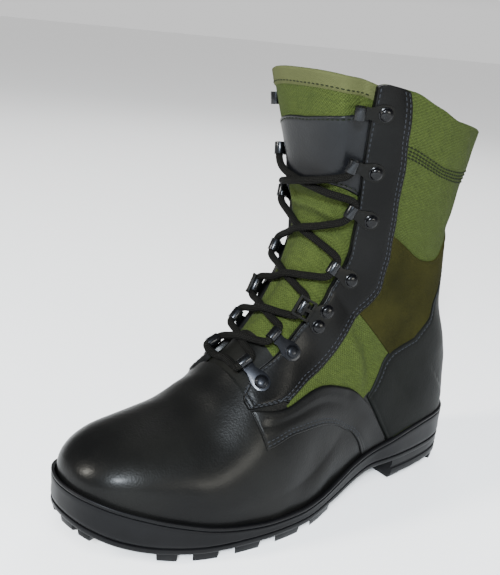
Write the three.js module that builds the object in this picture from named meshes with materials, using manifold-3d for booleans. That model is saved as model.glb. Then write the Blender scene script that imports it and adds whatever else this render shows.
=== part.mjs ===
// A left jungle boot with a leather foot, a canvas shaft and a lugged rubber sole.
// Millimetres, +X to the toe, +Y to the outer side, +Z up.
import * as THREE from 'three';
import { mergeVertices } from 'three/addons/utils/BufferGeometryUtils.js';
import Module from 'manifold-3d';

const wasm = await Module();
wasm.setup();

// Sizes of the whole boot
const SOLE_LENGTH = 298;
const BALL_WIDTH = 110;
const SHAFT_HEIGHT = 262;
const HEEL_SEAT = 40;

// Sizes of the sole
const HEEL_LENGTH = 75;
const TOE_SPRING = 17;
const WAIST_RISE = 14;
const LUG_DEPTH = 5.2;
const TOE_LUG_DEPTH = 3.4;
const PAD_DEPTH = 2.2;
const PLATE = 3.7;
const RIM_LIP = 4;
const RIM_WIDTH = 2.7;
const LIP_FLARE = 0.6;
const HEEL_REST_BACK = 38;

// Sizes of the upper and its layers
const GAP = 0.3;
const UPPER_WALL = 2.4;
const OVERLAY = 1.4;
const WEBBING = 1.1;
const TONGUE_WALL = 3;
const BINDING_STEP = 0.9;
const PATCH = 1.2;
const INSOLE = 3;
const UPPER_INSET = RIM_WIDTH + GAP;
const INSOLE_INSET = UPPER_INSET + UPPER_WALL + 0.8;

// Sizes of the lace, its loops and their rivets
const LACE = 4;
const LOOP_PLATE = 0.9;
const LOOP_BORE = 4.8;
const LOOP_ROLL_WALL = 0.8;
const LOOP_ROLL_LENGTH = 7.5;
const LOOP_REACH = 13;
const LOOP_HEAD = 5.6;
const RIVET_RADIUS = 3.9;
const RIVET_HEIGHT = 2.5;

// The sole's outline and rim. along is a share of the length, lateral and medial are
// shares of the ball width, and rim is a share of the heel seat's height.
const SOLE_TIP = { along: 1, side: -0.09, rim: 1.03 };
const SOLE_BACK = { along: 0, side: 0, rim: 1.01 };
const SOLE_ROWS = [
  { along: 0.007, lateral: 0.082, medial: 0.086, rim: 1.01 },
  { along: 0.027, lateral: 0.173, medial: 0.177, rim: 1.01 },
  { along: 0.057, lateral: 0.245, medial: 0.245, rim: 1.01 },
  { along: 0.094, lateral: 0.288, medial: 0.286, rim: 1.01 },
  { along: 0.151, lateral: 0.321, medial: 0.314, rim: 0.99 },
  { along: 0.215, lateral: 0.342, medial: 0.325, rim: 0.93 },
  { along: 0.262, lateral: 0.348, medial: 0.32, rim: 0.855 },
  { along: 0.326, lateral: 0.348, medial: 0.315, rim: 0.76 },
  { along: 0.386, lateral: 0.375, medial: 0.315, rim: 0.675 },
  { along: 0.446, lateral: 0.418, medial: 0.333, rim: 0.565 },
  { along: 0.513, lateral: 0.462, medial: 0.391, rim: 0.455 },
  { along: 0.57, lateral: 0.486, medial: 0.455, rim: 0.415 },
  { along: 0.638, lateral: 0.491, medial: 0.495, rim: 0.42 },
  { along: 0.705, lateral: 0.475, medial: 0.505, rim: 0.46 },
  { along: 0.772, lateral: 0.441, medial: 0.494, rim: 0.535 },
  { along: 0.839, lateral: 0.373, medial: 0.466, rim: 0.65 },
  { along: 0.899, lateral: 0.3, medial: 0.425, rim: 0.79 },
  { along: 0.946, lateral: 0.22, medial: 0.359, rim: 0.91 },
  { along: 0.977, lateral: 0.129, medial: 0.282, rim: 0.99 },
  { along: 0.993, lateral: 0.036, medial: 0.2, rim: 1.02 },
];

// Where the tread starts to rise to the toe, and the rise of the waist, as shares of the length
const SPRING_START = 0.785;
const WAIST_FRONT = 0.557;
const WAIST_BACK = 0.302;
const PAD_START = 0.5;
const PAD_END = 0.37;

// Rows of values under named columns
function table(names, rows) {
  return rows.map((row) => Object.fromEntries(names.map((name, i) => [name, row[i]])));
}

// The upper's sections. back is a share of the upper's own length, rise a share of the shaft's
// height above the sole, frontX a share of the sole's length and frontZ of the shaft's height.
// ridge is a share of the ball width. lateral and medial are widths as shares of the foot's
// own width there. belly is where the section is widest, crown and rear how square it is.
const UPPER_ROWS = table(
  ['back', 'rise', 'frontX', 'frontZ', 'ridge', 'lateral', 'medial', 'belly', 'crown', 'rear'],
  [
    [1, 0, 0.99, 0.143, -0.09, 1, 1, 0.3, 2.2, 2],
    [0.9975, 0, 0.9876, 0.166, -0.09, 1, 1, 0.3, 2.2, 2],
    [0.99, 0, 0.98, 0.188, -0.09, 1, 1, 0.3, 2.2, 2],
    [0.976, 0, 0.966, 0.206, -0.088, 1, 1, 0.3, 2.2, 2],
    [0.952, 0, 0.943, 0.224, -0.083, 1, 1, 0.3, 2.2, 2],
    [0.914, 0, 0.906, 0.241, -0.075, 1, 1, 0.28, 2.2, 2],
    [0.812, 0, 0.805, 0.266, -0.05, 1, 1, 0.25, 2.1, 2],
    [0.762, 0, 0.758, 0.284, -0.04, 1, 1, 0.22, 2, 2],
    [0.675, 0, 0.698, 0.335, -0.02, 1, 1, 0.2, 1.9, 2],
    [0.545, 0, 0.648, 0.4, -0.01, 0.98, 1, 0.2, 1.9, 2],
    [0.387, 0, 0.591, 0.481, 0, 1, 1.05, 0.25, 2.1, 2],
    [0.223, 0, 0.542, 0.567, 0, 1.02, 1.03, 0.4, 2.4, 2.2],
    [0.086, 0, 0.513, 0.641, -0.005, 1.04, 1.08, 0.5, 2.7, 2.3],
    [0, 0, 0.503, 0.712, -0.01, 1.06, 1.13, 0.5, 2.8, 2.3],
    [0.012, 0.107, 0.502, 0.763, -0.015, 1.07, 1.16, 0.5, 2.9, 2.3],
    [0.066, 0.26, 0.503, 0.824, -0.02, 1.09, 1.2, 0.5, 2.9, 2.3],
    [0.098, 0.427, 0.508, 0.885, -0.025, 1.15, 1.3, 0.5, 2.9, 2.3],
    [0.086, 0.595, 0.516, 0.939, -0.03, 1.24, 1.4, 0.5, 3, 2.3],
    [0.05, 0.763, 0.526, 1, -0.035, 1.32, 1.5, 0.5, 3, 2.3],
    [0.044, 0.809, 0.53, 1.038, -0.035, 1.33, 1.52, 0.5, 3, 2.3],
  ],
);

const lerp = THREE.MathUtils.lerp;
const clamp = THREE.MathUtils.clamp;

function smooth(t) {
  const k = clamp(t, 0, 1);
  return k * k * (3 - 2 * k);
}

// Cubic interpolation of one column through rows at the given places, with no overshoot.
function column(places, values) {
  const n = places.length;
  const slopes = [];
  for (let i = 0; i < n - 1; i += 1) {
    slopes.push((values[i + 1] - values[i]) / (places[i + 1] - places[i]));
  }
  const tangents = values.map((_, i) => {
    if (i === 0) return slopes[0];
    if (i === n - 1) return slopes[n - 2];
    if (slopes[i - 1] * slopes[i] <= 0) return 0;
    return (2 * slopes[i - 1] * slopes[i]) / (slopes[i - 1] + slopes[i]);
  });
  return (place) => {
    const at = clamp(place, places[0], places[n - 1]);
    let i = 0;
    while (i < n - 2 && at > places[i + 1]) i += 1;
    const step = places[i + 1] - places[i];
    const t = (at - places[i]) / step;
    const a = 2 * t ** 3 - 3 * t ** 2 + 1;
    const b = t ** 3 - 2 * t ** 2 + t;
    const c = -2 * t ** 3 + 3 * t ** 2;
    const d = t ** 3 - t ** 2;
    return a * values[i] + b * step * tangents[i] + c * values[i + 1] + d * step * tangents[i + 1];
  };
}

// The sole's outline as one closed curve, from the back of the heel round the outer side
const outlineCurve = new THREE.CatmullRomCurve3(
  [
    new THREE.Vector3(0, SOLE_BACK.side * BALL_WIDTH, 0),
    ...SOLE_ROWS.map((r) => new THREE.Vector3(r.along * SOLE_LENGTH, r.lateral * BALL_WIDTH, 0)),
    new THREE.Vector3(SOLE_LENGTH, SOLE_TIP.side * BALL_WIDTH, 0),
    ...SOLE_ROWS.toReversed().map(
      (r) => new THREE.Vector3(r.along * SOLE_LENGTH, -r.medial * BALL_WIDTH, 0),
    ),
  ],
  true,
  'centripetal',
);

// A point of one side of the outline, drawn in by inset, at a share of the way from the
// heel's back to the toe's tip
function outlinePoint(side, inset, share) {
  const t = side > 0 ? share / 2 : (1 - share / 2) % 1;
  const p = outlineCurve.getPoint(t);
  const tangent = outlineCurve.getTangent(t);
  return new THREE.Vector3(p.x + tangent.y * inset, p.y - tangent.x * inset, 0);
}
function outlineSide(side, inset, steps) {
  return Array.from({ length: steps + 1 }, (_, i) => outlinePoint(side, inset, i / steps));
}

const heightPlaces = [0, ...SOLE_ROWS.map((r) => r.along), 1];
const rimShare = column(heightPlaces, [SOLE_BACK.rim, ...SOLE_ROWS.map((r) => r.rim), SOLE_TIP.rim]);

function rimZ(x) {
  return rimShare(x / SOLE_LENGTH) * HEEL_SEAT;
}
function trayZ(x) {
  return rimZ(x) - RIM_LIP;
}
function treadZ(x) {
  const along = x / SOLE_LENGTH;
  const spring = clamp((along - SPRING_START) / (1 - SPRING_START), 0, 1);
  const waist = smooth((WAIST_FRONT - along) / (WAIST_FRONT - WAIST_BACK));
  return TOE_SPRING * spring ** 2 + WAIST_RISE * waist;
}

// Half width of the upper's lower edge at x, on one side, measured from the middle line
const FINE_STEPS = 160;
const lowerEdge = {
  lateral: outlineSide(1, UPPER_INSET, FINE_STEPS),
  medial: outlineSide(-1, UPPER_INSET, FINE_STEPS),
};
const EDGE_BACK = lowerEdge.lateral[0].x;
const EDGE_TIP = lowerEdge.lateral[FINE_STEPS].x;

function edgeY(x, side) {
  const line = side > 0 ? lowerEdge.lateral : lowerEdge.medial;
  const at = clamp(x, EDGE_BACK, EDGE_TIP);
  let i = 0;
  while (i < FINE_STEPS - 1 && line[i + 1].x < at) i += 1;
  const span = line[i + 1].x - line[i].x;
  const t = span > 1e-9 ? clamp((at - line[i].x) / span, 0, 1) : 0;
  return lerp(line[i].y, line[i + 1].y, t);
}

const upperPlaces = UPPER_ROWS.map((_, i) => i / (UPPER_ROWS.length - 1));
const upperColumns = {};
for (const name of Object.keys(UPPER_ROWS[0])) {
  upperColumns[name] = column(upperPlaces, UPPER_ROWS.map((r) => r[name]));
}

const LOW_PART = 0.4;
const HEEL_WIDE = 0.15;
const WALL_STRAIGHT = 3;
const WALL_BLEND = 30;
const WALL_POWER = 6;

// A point of the upper's outer form. u runs from the toe to above the collar, and v from the
// sole's edge on the outer side, 0, over the ridge, 0.5, to the edge on the inner side, 1.
function formPoint(u, v) {
  const get = (name) => upperColumns[name](u);
  const side = v <= 0.5 ? 1 : -1;
  const w = side > 0 ? v * 2 : (1 - v) * 2;
  const backX = lerp(EDGE_BACK, EDGE_TIP, get('back'));
  const rise = get('rise') * SHAFT_HEIGHT;
  const backZ = trayZ(backX) + GAP + rise;
  const frontX = get('frontX') * SOLE_LENGTH;
  const frontZ = Math.max(get('frontZ') * SHAFT_HEIGHT, backZ);
  const ridge = get('ridge') * BALL_WIDTH;
  const shift = rise > 0 ? backX - EDGE_BACK : 0;
  const wideX = Math.max(backX, HEEL_WIDE * SOLE_LENGTH);
  const footHalf = side * (edgeY(backX - shift, side) - ridge);
  const half = side * (edgeY(wideX, side) - ridge) * get(side > 0 ? 'lateral' : 'medial');
  const belly = get('belly');
  let share;
  let y;
  if (w < LOW_PART) {
    const t = w / LOW_PART;
    const power = 2 / get('rear');
    share = belly * (1 - Math.cos((t * Math.PI) / 2) ** power);
    const oval = footHalf + (half - footHalf) * Math.sin((t * Math.PI) / 2) ** power;
    const x = lerp(backX, frontX, share);
    const above = share * (frontZ - backZ) + rise;
    const plan = side * (edgeY(x - shift, side) - ridge);
    const straight = 1 - smooth((above - RIM_LIP - WALL_STRAIGHT) / WALL_BLEND);
    const keep = straight * (1 - t ** WALL_POWER);
    y = lerp(oval, plan, keep);
  } else {
    const t = (w - LOW_PART) / (1 - LOW_PART);
    const power = 2 / get('crown');
    share = belly + (1 - belly) * Math.sin((t * Math.PI) / 2) ** power;
    y = half * Math.max(Math.cos((t * Math.PI) / 2), 0) ** power;
  }
  const x = lerp(backX, frontX, share);
  return new THREE.Vector3(x, ridge + side * y, lerp(backZ, frontZ, share));
}

const THROAT_START = 0.445;
const COLLAR_BEND_U = 0.885;
const NORMAL_STEP = 0.002;
const NORMAL_FIRST_U = 0.004;
const HEEL_ROW = 13;
const CLOSED_FROM = HEEL_ROW / (UPPER_ROWS.length - 1);

const UPPER_STATIONS = [
  0, 0.03, 0.065, 0.105, 0.155, 0.21, 0.265, 0.32, 0.37, 0.41, THROAT_START, 0.475, 0.51, 0.55,
  0.585, 0.62, 0.643, 0.662, 0.676, CLOSED_FROM, 0.71, 0.74, 0.78, 0.82, 0.855, COLLAR_BEND_U, 0.94, 1,
];

// The outward normal of the form
function formNormal(u, v) {
  const uMid = clamp(u, NORMAL_FIRST_U, 1);
  const a = formPoint(clamp(uMid - NORMAL_STEP, 0, 1), v);
  const b = formPoint(clamp(uMid + NORMAL_STEP, 0, 1), v);
  const closed = uMid >= CLOSED_FROM;
  const low = v - NORMAL_STEP;
  const high = v + NORMAL_STEP;
  const c = formPoint(uMid, low < 0 ? (closed ? low + 1 : 0) : low);
  const d = formPoint(uMid, high > 1 ? (closed ? high - 1 : 1) : high);
  return b.sub(a).cross(d.sub(c)).normalize();
}

// A point at a distance outside the form, or inside it where the distance is negative
function skin(u, v, distance) {
  return formPoint(u, v).addScaledVector(formNormal(u, v), distance);
}

// Turns a list of triangles into a geometry whose faces point out.
function solid(vertices, triangles) {
  let volume = 0;
  const at = (i) => vertices[i];
  for (const [a, b, c] of triangles) {
    volume += at(a).dot(new THREE.Vector3().crossVectors(at(b), at(c)));
  }
  const faces = volume < 0 ? triangles.map(([a, b, c]) => [a, c, b]) : triangles;
  const geometry = new THREE.BufferGeometry();
  const places = vertices.flatMap((p) => p.toArray());
  geometry.setAttribute('position', new THREE.Float32BufferAttribute(places, 3));
  geometry.setIndex(faces.flat());
  return geometry;
}

// A sheet of the given quads, closed by its inner face and by a wall along every free edge
function sheet(quads, outer, inner) {
  const known = new Map();
  const top = [];
  const under = [];
  const indexOf = ([u, v]) => {
    const p = outer(u, v);
    const key = p.toArray().map((n) => n.toFixed(2)).join();
    if (!known.has(key)) {
      known.set(key, top.length);
      top.push(p);
      under.push(inner(u, v));
    }
    return known.get(key);
  };
  const faces = [];
  for (const quad of quads) {
    const ring = quad.map(indexOf).filter((n, i, all) => all.indexOf(n) === i);
    if (ring.length === 4) faces.push([ring[0], ring[1], ring[2]], [ring[0], ring[2], ring[3]]);
    if (ring.length === 3) faces.push(ring);
  }
  const edges = new Map();
  for (const face of faces) {
    face.forEach((n, i) => edges.set(`${n},${face[(i + 1) % 3]}`, [n, face[(i + 1) % 3]]));
  }
  const count = top.length;
  const triangles = [];
  for (const [a, b, c] of faces) {
    triangles.push([a, b, c], [count + a, count + c, count + b]);
  }
  for (const [a, b] of edges.values()) {
    if (edges.has(`${b},${a}`)) continue;
    triangles.push([b, a, count + a], [b, count + a, count + b]);
  }
  return solid([...top, ...under], triangles);
}

// The quads of a grid whose corner (i, j) is at(i, j)
function gridQuads(rows, columns, at) {
  const quads = [];
  for (let i = 0; i < rows; i += 1) {
    for (let j = 0; j < columns; j += 1) {
      quads.push([at(i, j), at(i + 1, j), at(i + 1, j + 1), at(i, j + 1)]);
    }
  }
  return quads;
}

// A body through rings of paired points, closed across its first and last ring
function loft(rings) {
  const size = rings[0].length;
  const vertices = rings.flat();
  const triangles = [];
  for (let r = 0; r < rings.length - 1; r += 1) {
    for (let i = 0; i < size; i += 1) {
      const a = r * size + i;
      const b = r * size + ((i + 1) % size);
      triangles.push([a, b, b + size], [a, b + size, a + size]);
    }
  }
  const last = (rings.length - 1) * size;
  const half = Math.floor(size / 2);
  for (let i = 0; i < half; i += 1) {
    const a = i;
    const b = i + 1;
    const c = (size - i - 1) % size;
    const d = (size - i) % size;
    for (const [p, q, r] of [[a, b, c], [a, c, d]]) {
      if (p === q || q === r || r === p) continue;
      triangles.push([r, q, p], [last + p, last + q, last + r]);
    }
  }
  return solid(vertices, triangles);
}

function toManifold(geometry) {
  const bare = geometry.clone();
  bare.deleteAttribute('normal');
  bare.deleteAttribute('uv');
  const merged = mergeVertices(bare, 1e-4);
  return new wasm.Manifold(
    new wasm.Mesh({
      numProp: 3,
      vertProperties: new Float32Array(merged.attributes.position.array),
      triVerts: new Uint32Array(merged.index.array),
    }),
  );
}

function fromManifold(body) {
  const mesh = body.getMesh();
  const geometry = new THREE.BufferGeometry();
  geometry.setAttribute('position', new THREE.BufferAttribute(mesh.vertProperties, 3));
  geometry.setIndex(new THREE.BufferAttribute(mesh.triVerts, 1));
  return geometry;
}

function joined(geometries) {
  return fromManifold(geometries.map(toManifold).reduce((a, b) => a.add(b)));
}

// The sole

// The sole's rings have their points at the upper's own stations, so that the two run parallel.
const ringShares = [1, -1].map((side) => {
  const line = side > 0 ? lowerEdge.lateral : lowerEdge.medial;
  return UPPER_STATIONS.filter((u) => u <= CLOSED_FROM)
    .toReversed()
    .map((u) => {
      const x = lerp(EDGE_BACK, EDGE_TIP, upperColumns.back(u));
      if (u === 0) return 1;
      if (u === CLOSED_FROM) return 0;
      let i = 0;
      while (i < FINE_STEPS - 1 && line[i + 1].x < x) i += 1;
      return (i + (x - line[i].x) / (line[i + 1].x - line[i].x)) / FINE_STEPS;
    });
});

function soleRing(inset, height) {
  const sides = [1, -1].map((side, n) =>
    ringShares[n].map((share) => {
      const p = outlinePoint(side, inset, share);
      return new THREE.Vector3(p.x, p.y, height(p.x));
    }),
  );
  return [...sides[0], ...sides[1].slice(1, -1).toReversed()];
}

function plateZ(x) {
  const along = x / SOLE_LENGTH;
  const pad = smooth((PAD_START - along) / (PAD_START - PAD_END));
  const toe = smooth((along - SPRING_START) / (1 - SPRING_START));
  return treadZ(x) + lerp(lerp(LUG_DEPTH, TOE_LUG_DEPTH, toe), PAD_DEPTH, pad);
}
function partingZ(x) {
  return plateZ(x) + PLATE;
}

// The side of the midsole, from its foot to the tray. up is a share of the wall below the
// rim's bead, down is a distance below the rim, and inset is a distance in from the outline.
const MIDSOLE_SIDE = [
  { up: 0, inset: 0.7 },
  { up: 0.18, inset: 0 },
  { up: 0.95, inset: 0 },
  { down: 2.6, inset: 1 },
  { down: 2, inset: 0.1 },
  { down: 0.6, inset: 0.1 },
  { down: 0, inset: 0.8 },
  { down: 0, inset: RIM_WIDTH - LIP_FLARE },
  { down: RIM_LIP, inset: RIM_WIDTH },
];
const BEAD_DROP = 2.8;

function midsole() {
  const rings = MIDSOLE_SIDE.map((row) => {
    const wall = (x) => lerp(partingZ(x) + GAP, rimZ(x) - BEAD_DROP, row.up);
    const bead = (x) => rimZ(x) - row.down;
    return soleRing(row.inset, row.up === undefined ? bead : wall);
  });
  return loft(rings);
}

const INSOLE_EDGE = 0.6;
const INSOLE_EDGE_RISE = 0.8;

function insole() {
  return loft([
    soleRing(INSOLE_INSET + INSOLE_EDGE, (x) => trayZ(x) + GAP),
    soleRing(INSOLE_INSET, (x) => trayZ(x) + GAP + INSOLE_EDGE_RISE),
    soleRing(INSOLE_INSET, (x) => trayZ(x) + GAP + INSOLE),
  ]);
}

// A block of the tread, from inside the plate down to the tread's own curve
const LUG_DRAFT = 0.93;
const LUG_ROOT = 1;

function block(outline, top, bottom) {
  const centre = outline.reduce((sum, p) => sum.add(p), new THREE.Vector2()).divideScalar(outline.length);
  const foot = outline.map((p) => p.clone().sub(centre).multiplyScalar(LUG_DRAFT).add(centre));
  const vertices = [
    ...outline.map((p) => new THREE.Vector3(p.x, p.y, top(p.x))),
    ...foot.map((p) => new THREE.Vector3(p.x, p.y, bottom(p.x))),
  ];
  const n = outline.length;
  const triangles = [];
  for (const [a, b, c] of THREE.ShapeUtils.triangulateShape(outline, [])) {
    triangles.push([a, b, c], [n + a, n + c, n + b]);
  }
  const clockwise = THREE.ShapeUtils.isClockWise(outline);
  for (let i = 0; i < n; i += 1) {
    const j = (i + 1) % n;
    const [p, q] = clockwise ? [j, i] : [i, j];
    triangles.push([p, n + p, n + q], [p, n + q, q]);
  }
  return solid(vertices, triangles);
}

const lugTop = (x) => plateZ(x) + LUG_ROOT;
const plan = (x, y) => new THREE.Vector2(x * SOLE_LENGTH, y * BALL_WIDTH);

// Where the outline crosses a length, on one side, with an inset
function outlineAt(along, side, inset) {
  const line = outlineSide(side, inset, FINE_STEPS);
  const x = along * SOLE_LENGTH;
  let i = 0;
  while (i < FINE_STEPS - 1 && line[i + 1].x < x) i += 1;
  const t = clamp((x - line[i].x) / (line[i + 1].x - line[i].x), 0, 1);
  return new THREE.Vector2(x, lerp(line[i].y, line[i + 1].y, t));
}

// The three-armed lugs along the middle. along is the middle of the lug, and side its offset.
const STAR_LUGS = [
  { along: 0.827, side: -0.064, size: 1 },
  { along: 0.725, side: -0.045, size: 1 },
  { along: 0.61, side: -0.018, size: 1 },
  { along: 0.503, side: 0, size: 0.85 },
];
// Half of the star's outline, ahead and aside as shares of the ball width
const STAR_HALF = [
  { ahead: 0.182, aside: 0.041 },
  { ahead: 0.073, aside: 0.045 },
  { ahead: 0, aside: 0.091 },
  { ahead: -0.073, aside: 0.173 },
  { ahead: -0.136, aside: 0.155 },
  { ahead: -0.077, aside: 0.073 },
  { ahead: -0.055, aside: 0 },
];

function starLug(row) {
  const scale = row.size * BALL_WIDTH;
  const half = STAR_HALF.map((p) => new THREE.Vector2(p.ahead * scale, p.aside * scale));
  const other = half.slice(0, -1).toReversed().map((p) => new THREE.Vector2(p.x, -p.y));
  const centre = plan(row.along, row.side);
  return block([...half, ...other].map((p) => p.add(centre)), lugTop, treadZ);
}

// The hooked lugs at the sides. front and rear are the ends at the sole's edge.
const HOOK_LUGS = [
  { side: 1, front: 0.872, rear: 0.834 },
  { side: 1, front: 0.808, rear: 0.758 },
  { side: 1, front: 0.726, rear: 0.669 },
  { side: 1, front: 0.634, rear: 0.569 },
  { side: 1, front: 0.537, rear: 0.47 },
  { side: -1, front: 0.826, rear: 0.785 },
  { side: -1, front: 0.752, rear: 0.695 },
  { side: -1, front: 0.654, rear: 0.6 },
  { side: -1, front: 0.547, rear: 0.482 },
];
// The hook's inner corners, behind its rear end as a share of the length, and across as a
// share of the half width there
const HOOK_CORNERS = [
  { behind: 0.055, across: 0.53 },
  { behind: 0.026, across: 0.33 },
  { behind: 0, across: 0.33 },
  { behind: -0.016, across: 0.44 },
  { behind: 0.011, across: 0.57 },
];
const LUG_EDGE = 0.9;

function hookLug(row) {
  const front = outlineAt(row.front, row.side, LUG_EDGE);
  const rear = outlineAt(row.rear, row.side, LUG_EDGE);
  const corners = HOOK_CORNERS.map(
    (c) => new THREE.Vector2((row.rear - c.behind) * SOLE_LENGTH, rear.y * c.across),
  );
  return block([front, rear, ...corners], lugTop, treadZ);
}

// Blocks that follow the outline, round the toe and round the back of the heel. from and to
// are shares of the way from the heel's back to the toe's tip, and deep is the block's depth.
const RIM_BLOCKS = [
  { side: 1, from: 0.9, to: 0.935, deep: 17 },
  { side: 1, from: 0.95, to: 0.99, deep: 17 },
  { side: -1, from: 0.865, to: 0.905, deep: 19 },
  { side: -1, from: 0.92, to: 0.965, deep: 17 },
  { side: 1, from: 0.012, to: 0.1, deep: 12 },
  { side: -1, from: 0.012, to: 0.1, deep: 12 },
  { side: 1, from: 0.125, to: 0.17, deep: 21 },
  { side: -1, from: 0.125, to: 0.17, deep: 21 },
];
const RIM_BLOCK_STEPS = 3;

const heelTop = () => LUG_DEPTH + LUG_ROOT;
const floorZ = () => 0;

function rimBlock(row) {
  const pick = (inset) => {
    const line = outlineSide(row.side, inset, FINE_STEPS);
    const points = [];
    for (let i = 0; i <= RIM_BLOCK_STEPS; i += 1) {
      const p = line[Math.round(lerp(row.from, row.to, i / RIM_BLOCK_STEPS) * FINE_STEPS)];
      points.push(new THREE.Vector2(p.x, p.y));
    }
    return points;
  };
  const outline = [...pick(LUG_EDGE), ...pick(row.deep).toReversed()];
  const heel = row.to < 0.5;
  return block(outline, heel ? heelTop : lugTop, heel ? floorZ : treadZ);
}

// The low pads under the waist. long and wide are shares of the ball width.
const PADS = [
  { along: 0.425, lateral: 0.25, medial: -0.21, long: 0.1, wide: 0.182 },
  { along: 0.37, lateral: 0.23, medial: -0.2, long: 0.077, wide: 0.145 },
  { along: 0.318, lateral: 0.215, medial: -0.21, long: 0.1, wide: 0.182 },
];

function pad(row, side) {
  const centre = plan(row.along, side);
  const a = (row.long * BALL_WIDTH) / 2;
  const b = (row.wide * BALL_WIDTH) / 2;
  const corners = [[a, -b / 2], [a, b / 2], [0, b], [-a, b / 2], [-a, -b / 2], [0, -b]];
  return block(corners.map(([x, y]) => new THREE.Vector2(x, y).add(centre)), lugTop, treadZ);
}

// The heel's own blocks: a bar along the breast and a three-armed block on the middle
const HEEL_BAR = [
  { along: 0.243, side: 0.32 },
  { along: 0.243, side: -0.3 },
  { along: 0.2, side: -0.29 },
  { along: 0.197, side: -0.16 },
  { along: 0.183, side: -0.12 },
  { along: 0.19, side: 0 },
  { along: 0.183, side: 0.13 },
  { along: 0.197, side: 0.17 },
  { along: 0.2, side: 0.31 },
];
const HEEL_STAR = { ahead: 9, behind: 14, arm: 15, armBack: 6, stem: 6, stemBack: 4, stemEnd: 5 };

function heelStar() {
  const { ahead, behind, arm, armBack, stem, stemBack, stemEnd } = HEEL_STAR;
  const corners = [
    [ahead, -stem], [ahead, stem], [0, arm], [-armBack, arm], [-stemBack, stem], [-behind, stemEnd],
  ];
  const all = [...corners, ...corners.slice(2).toReversed().map(([x, y]) => [x, -y])];
  return block(all.map(([x, y]) => new THREE.Vector2(HEEL_REST_BACK + x, y)), heelTop, floorZ);
}

// The heel block's side. up is a share of its height above the lugs.
const HEEL_SIDE = [
  { up: 0, inset: 0.9 },
  { up: 0.12, inset: 0.4 },
  { up: 0.4, inset: 0.3 },
  { up: 0.46, inset: 1.2 },
  { up: 0.56, inset: 1.2 },
  { up: 0.62, inset: 0.3 },
  { up: 1, inset: 0.3 },
];

const HEEL_STEPS = 9;
const HEEL_ROOT = 1.2;

function heelBlock() {
  const top = plateZ(0) + HEEL_ROOT;
  return loft(
    HEEL_SIDE.map((row) => {
      const z = lerp(LUG_DEPTH, top, row.up);
      const sides = [1, -1].map((side) => {
        const points = [];
        const line = outlineSide(side, row.inset, FINE_STEPS);
        const last = line.findIndex((p) => p.x > HEEL_LENGTH);
        for (let i = 0; i < HEEL_STEPS; i += 1) {
          const p = line[Math.round((i / HEEL_STEPS) * last)];
          points.push(new THREE.Vector3(p.x, p.y, z));
        }
        const corner = outlineAt(HEEL_LENGTH / SOLE_LENGTH, side, row.inset);
        points.push(new THREE.Vector3(corner.x, corner.y, z));
        return points;
      });
      return [...sides[0], ...sides[1].slice(1).toReversed()];
    }),
  );
}

// The side of the outsole's plate. up is a distance above its underside, down one below its top.
const PLATE_SIDE = [
  { up: 0, inset: 1 },
  { up: 1, inset: 0.2 },
  { down: 1.2, inset: 0 },
  { down: 0, inset: 0.7 },
];

function outsole() {
  const plate = loft(
    PLATE_SIDE.map((row) => {
      const under = (x) => plateZ(x) + row.up;
      const over = (x) => partingZ(x) - row.down;
      return soleRing(row.inset, row.up === undefined ? over : under);
    }),
  );
  return joined([
    plate,
    heelBlock(),
    ...STAR_LUGS.map(starLug),
    ...HOOK_LUGS.map(hookLug),
    ...RIM_BLOCKS.map(rimBlock),
    ...PADS.flatMap((row) => [pad(row, row.lateral), pad(row, row.medial)]),
    block(HEEL_BAR.map((p) => plan(p.along, p.side)), heelTop, floorZ),
    heelStar(),
  ]);
}

// The upper

// The front and rear edges of the eyestay, as v at a few places of u. The front edge is also
// the edge of the throat.
const STAY_ROWS = [
  { u: 0.44, front: 0.4, rear: 0.352 },
  { u: 0.47, front: 0.41, rear: 0.333 },
  { u: 0.512, front: 0.392, rear: 0.317 },
  { u: 0.55, front: 0.378, rear: 0.292 },
  { u: 0.59, front: 0.357, rear: 0.275 },
  { u: 0.64, front: 0.343, rear: 0.261 },
  { u: 0.7, front: 0.34, rear: 0.252 },
  { u: 0.76, front: 0.333, rear: 0.238 },
  { u: 0.82, front: 0.328, rear: 0.227 },
  { u: 0.87, front: 0.328, rear: 0.226 },
  { u: 0.92, front: 0.329, rear: 0.24 },
  { u: 0.99, front: 0.325, rear: 0.255 },
];
const stayPlaces = STAY_ROWS.map((r) => r.u);
const throatV = column(stayPlaces, STAY_ROWS.map((r) => r.front));
const stayRearV = column(stayPlaces, STAY_ROWS.map((r) => r.rear));

const COLLAR_BACK_U = 0.947;
const COLLAR_FRONT_U = 0.985;

const COLLAR_DIP_V = 0.17;
const COLLAR_DIP_SPAN = 0.07;
const COLLAR_CORNER_V = 0.295;
const COLLAR_CORNER_SPAN = 0.03;
const COLLAR_CORNER_DROP = 0.014;

// The collar dips to the back and is rounded off where it meets the throat
function collarU(v) {
  const w = Math.min(v, 1 - v);
  const corner = clamp((w - COLLAR_CORNER_V) / COLLAR_CORNER_SPAN, 0, 1) ** 2;
  const level = lerp(COLLAR_BACK_U, COLLAR_FRONT_U, smooth((w - COLLAR_DIP_V) / COLLAR_DIP_SPAN));
  return level - COLLAR_CORNER_DROP * corner;
}

// The upper part of the shaft is stretched so that its last row is the collar
function toCollar(u, v) {
  if (u <= COLLAR_BEND_U) return u;
  return lerp(COLLAR_BEND_U, collarU(v), (u - COLLAR_BEND_U) / (1 - COLLAR_BEND_U));
}

const SIDE_COLUMNS = 8;
const THROAT_COLUMNS = 4;

// The column positions across the upper, with one at each edge of the throat
function upperV(u, j) {
  const edge = throatV(u);
  if (j <= SIDE_COLUMNS) return (edge * j) / SIDE_COLUMNS;
  const fromEnd = 2 * SIDE_COLUMNS + THROAT_COLUMNS - j;
  if (fromEnd <= SIDE_COLUMNS) return 1 - (edge * fromEnd) / SIDE_COLUMNS;
  return lerp(edge, 1 - edge, (j - SIDE_COLUMNS) / THROAT_COLUMNS);
}

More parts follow.
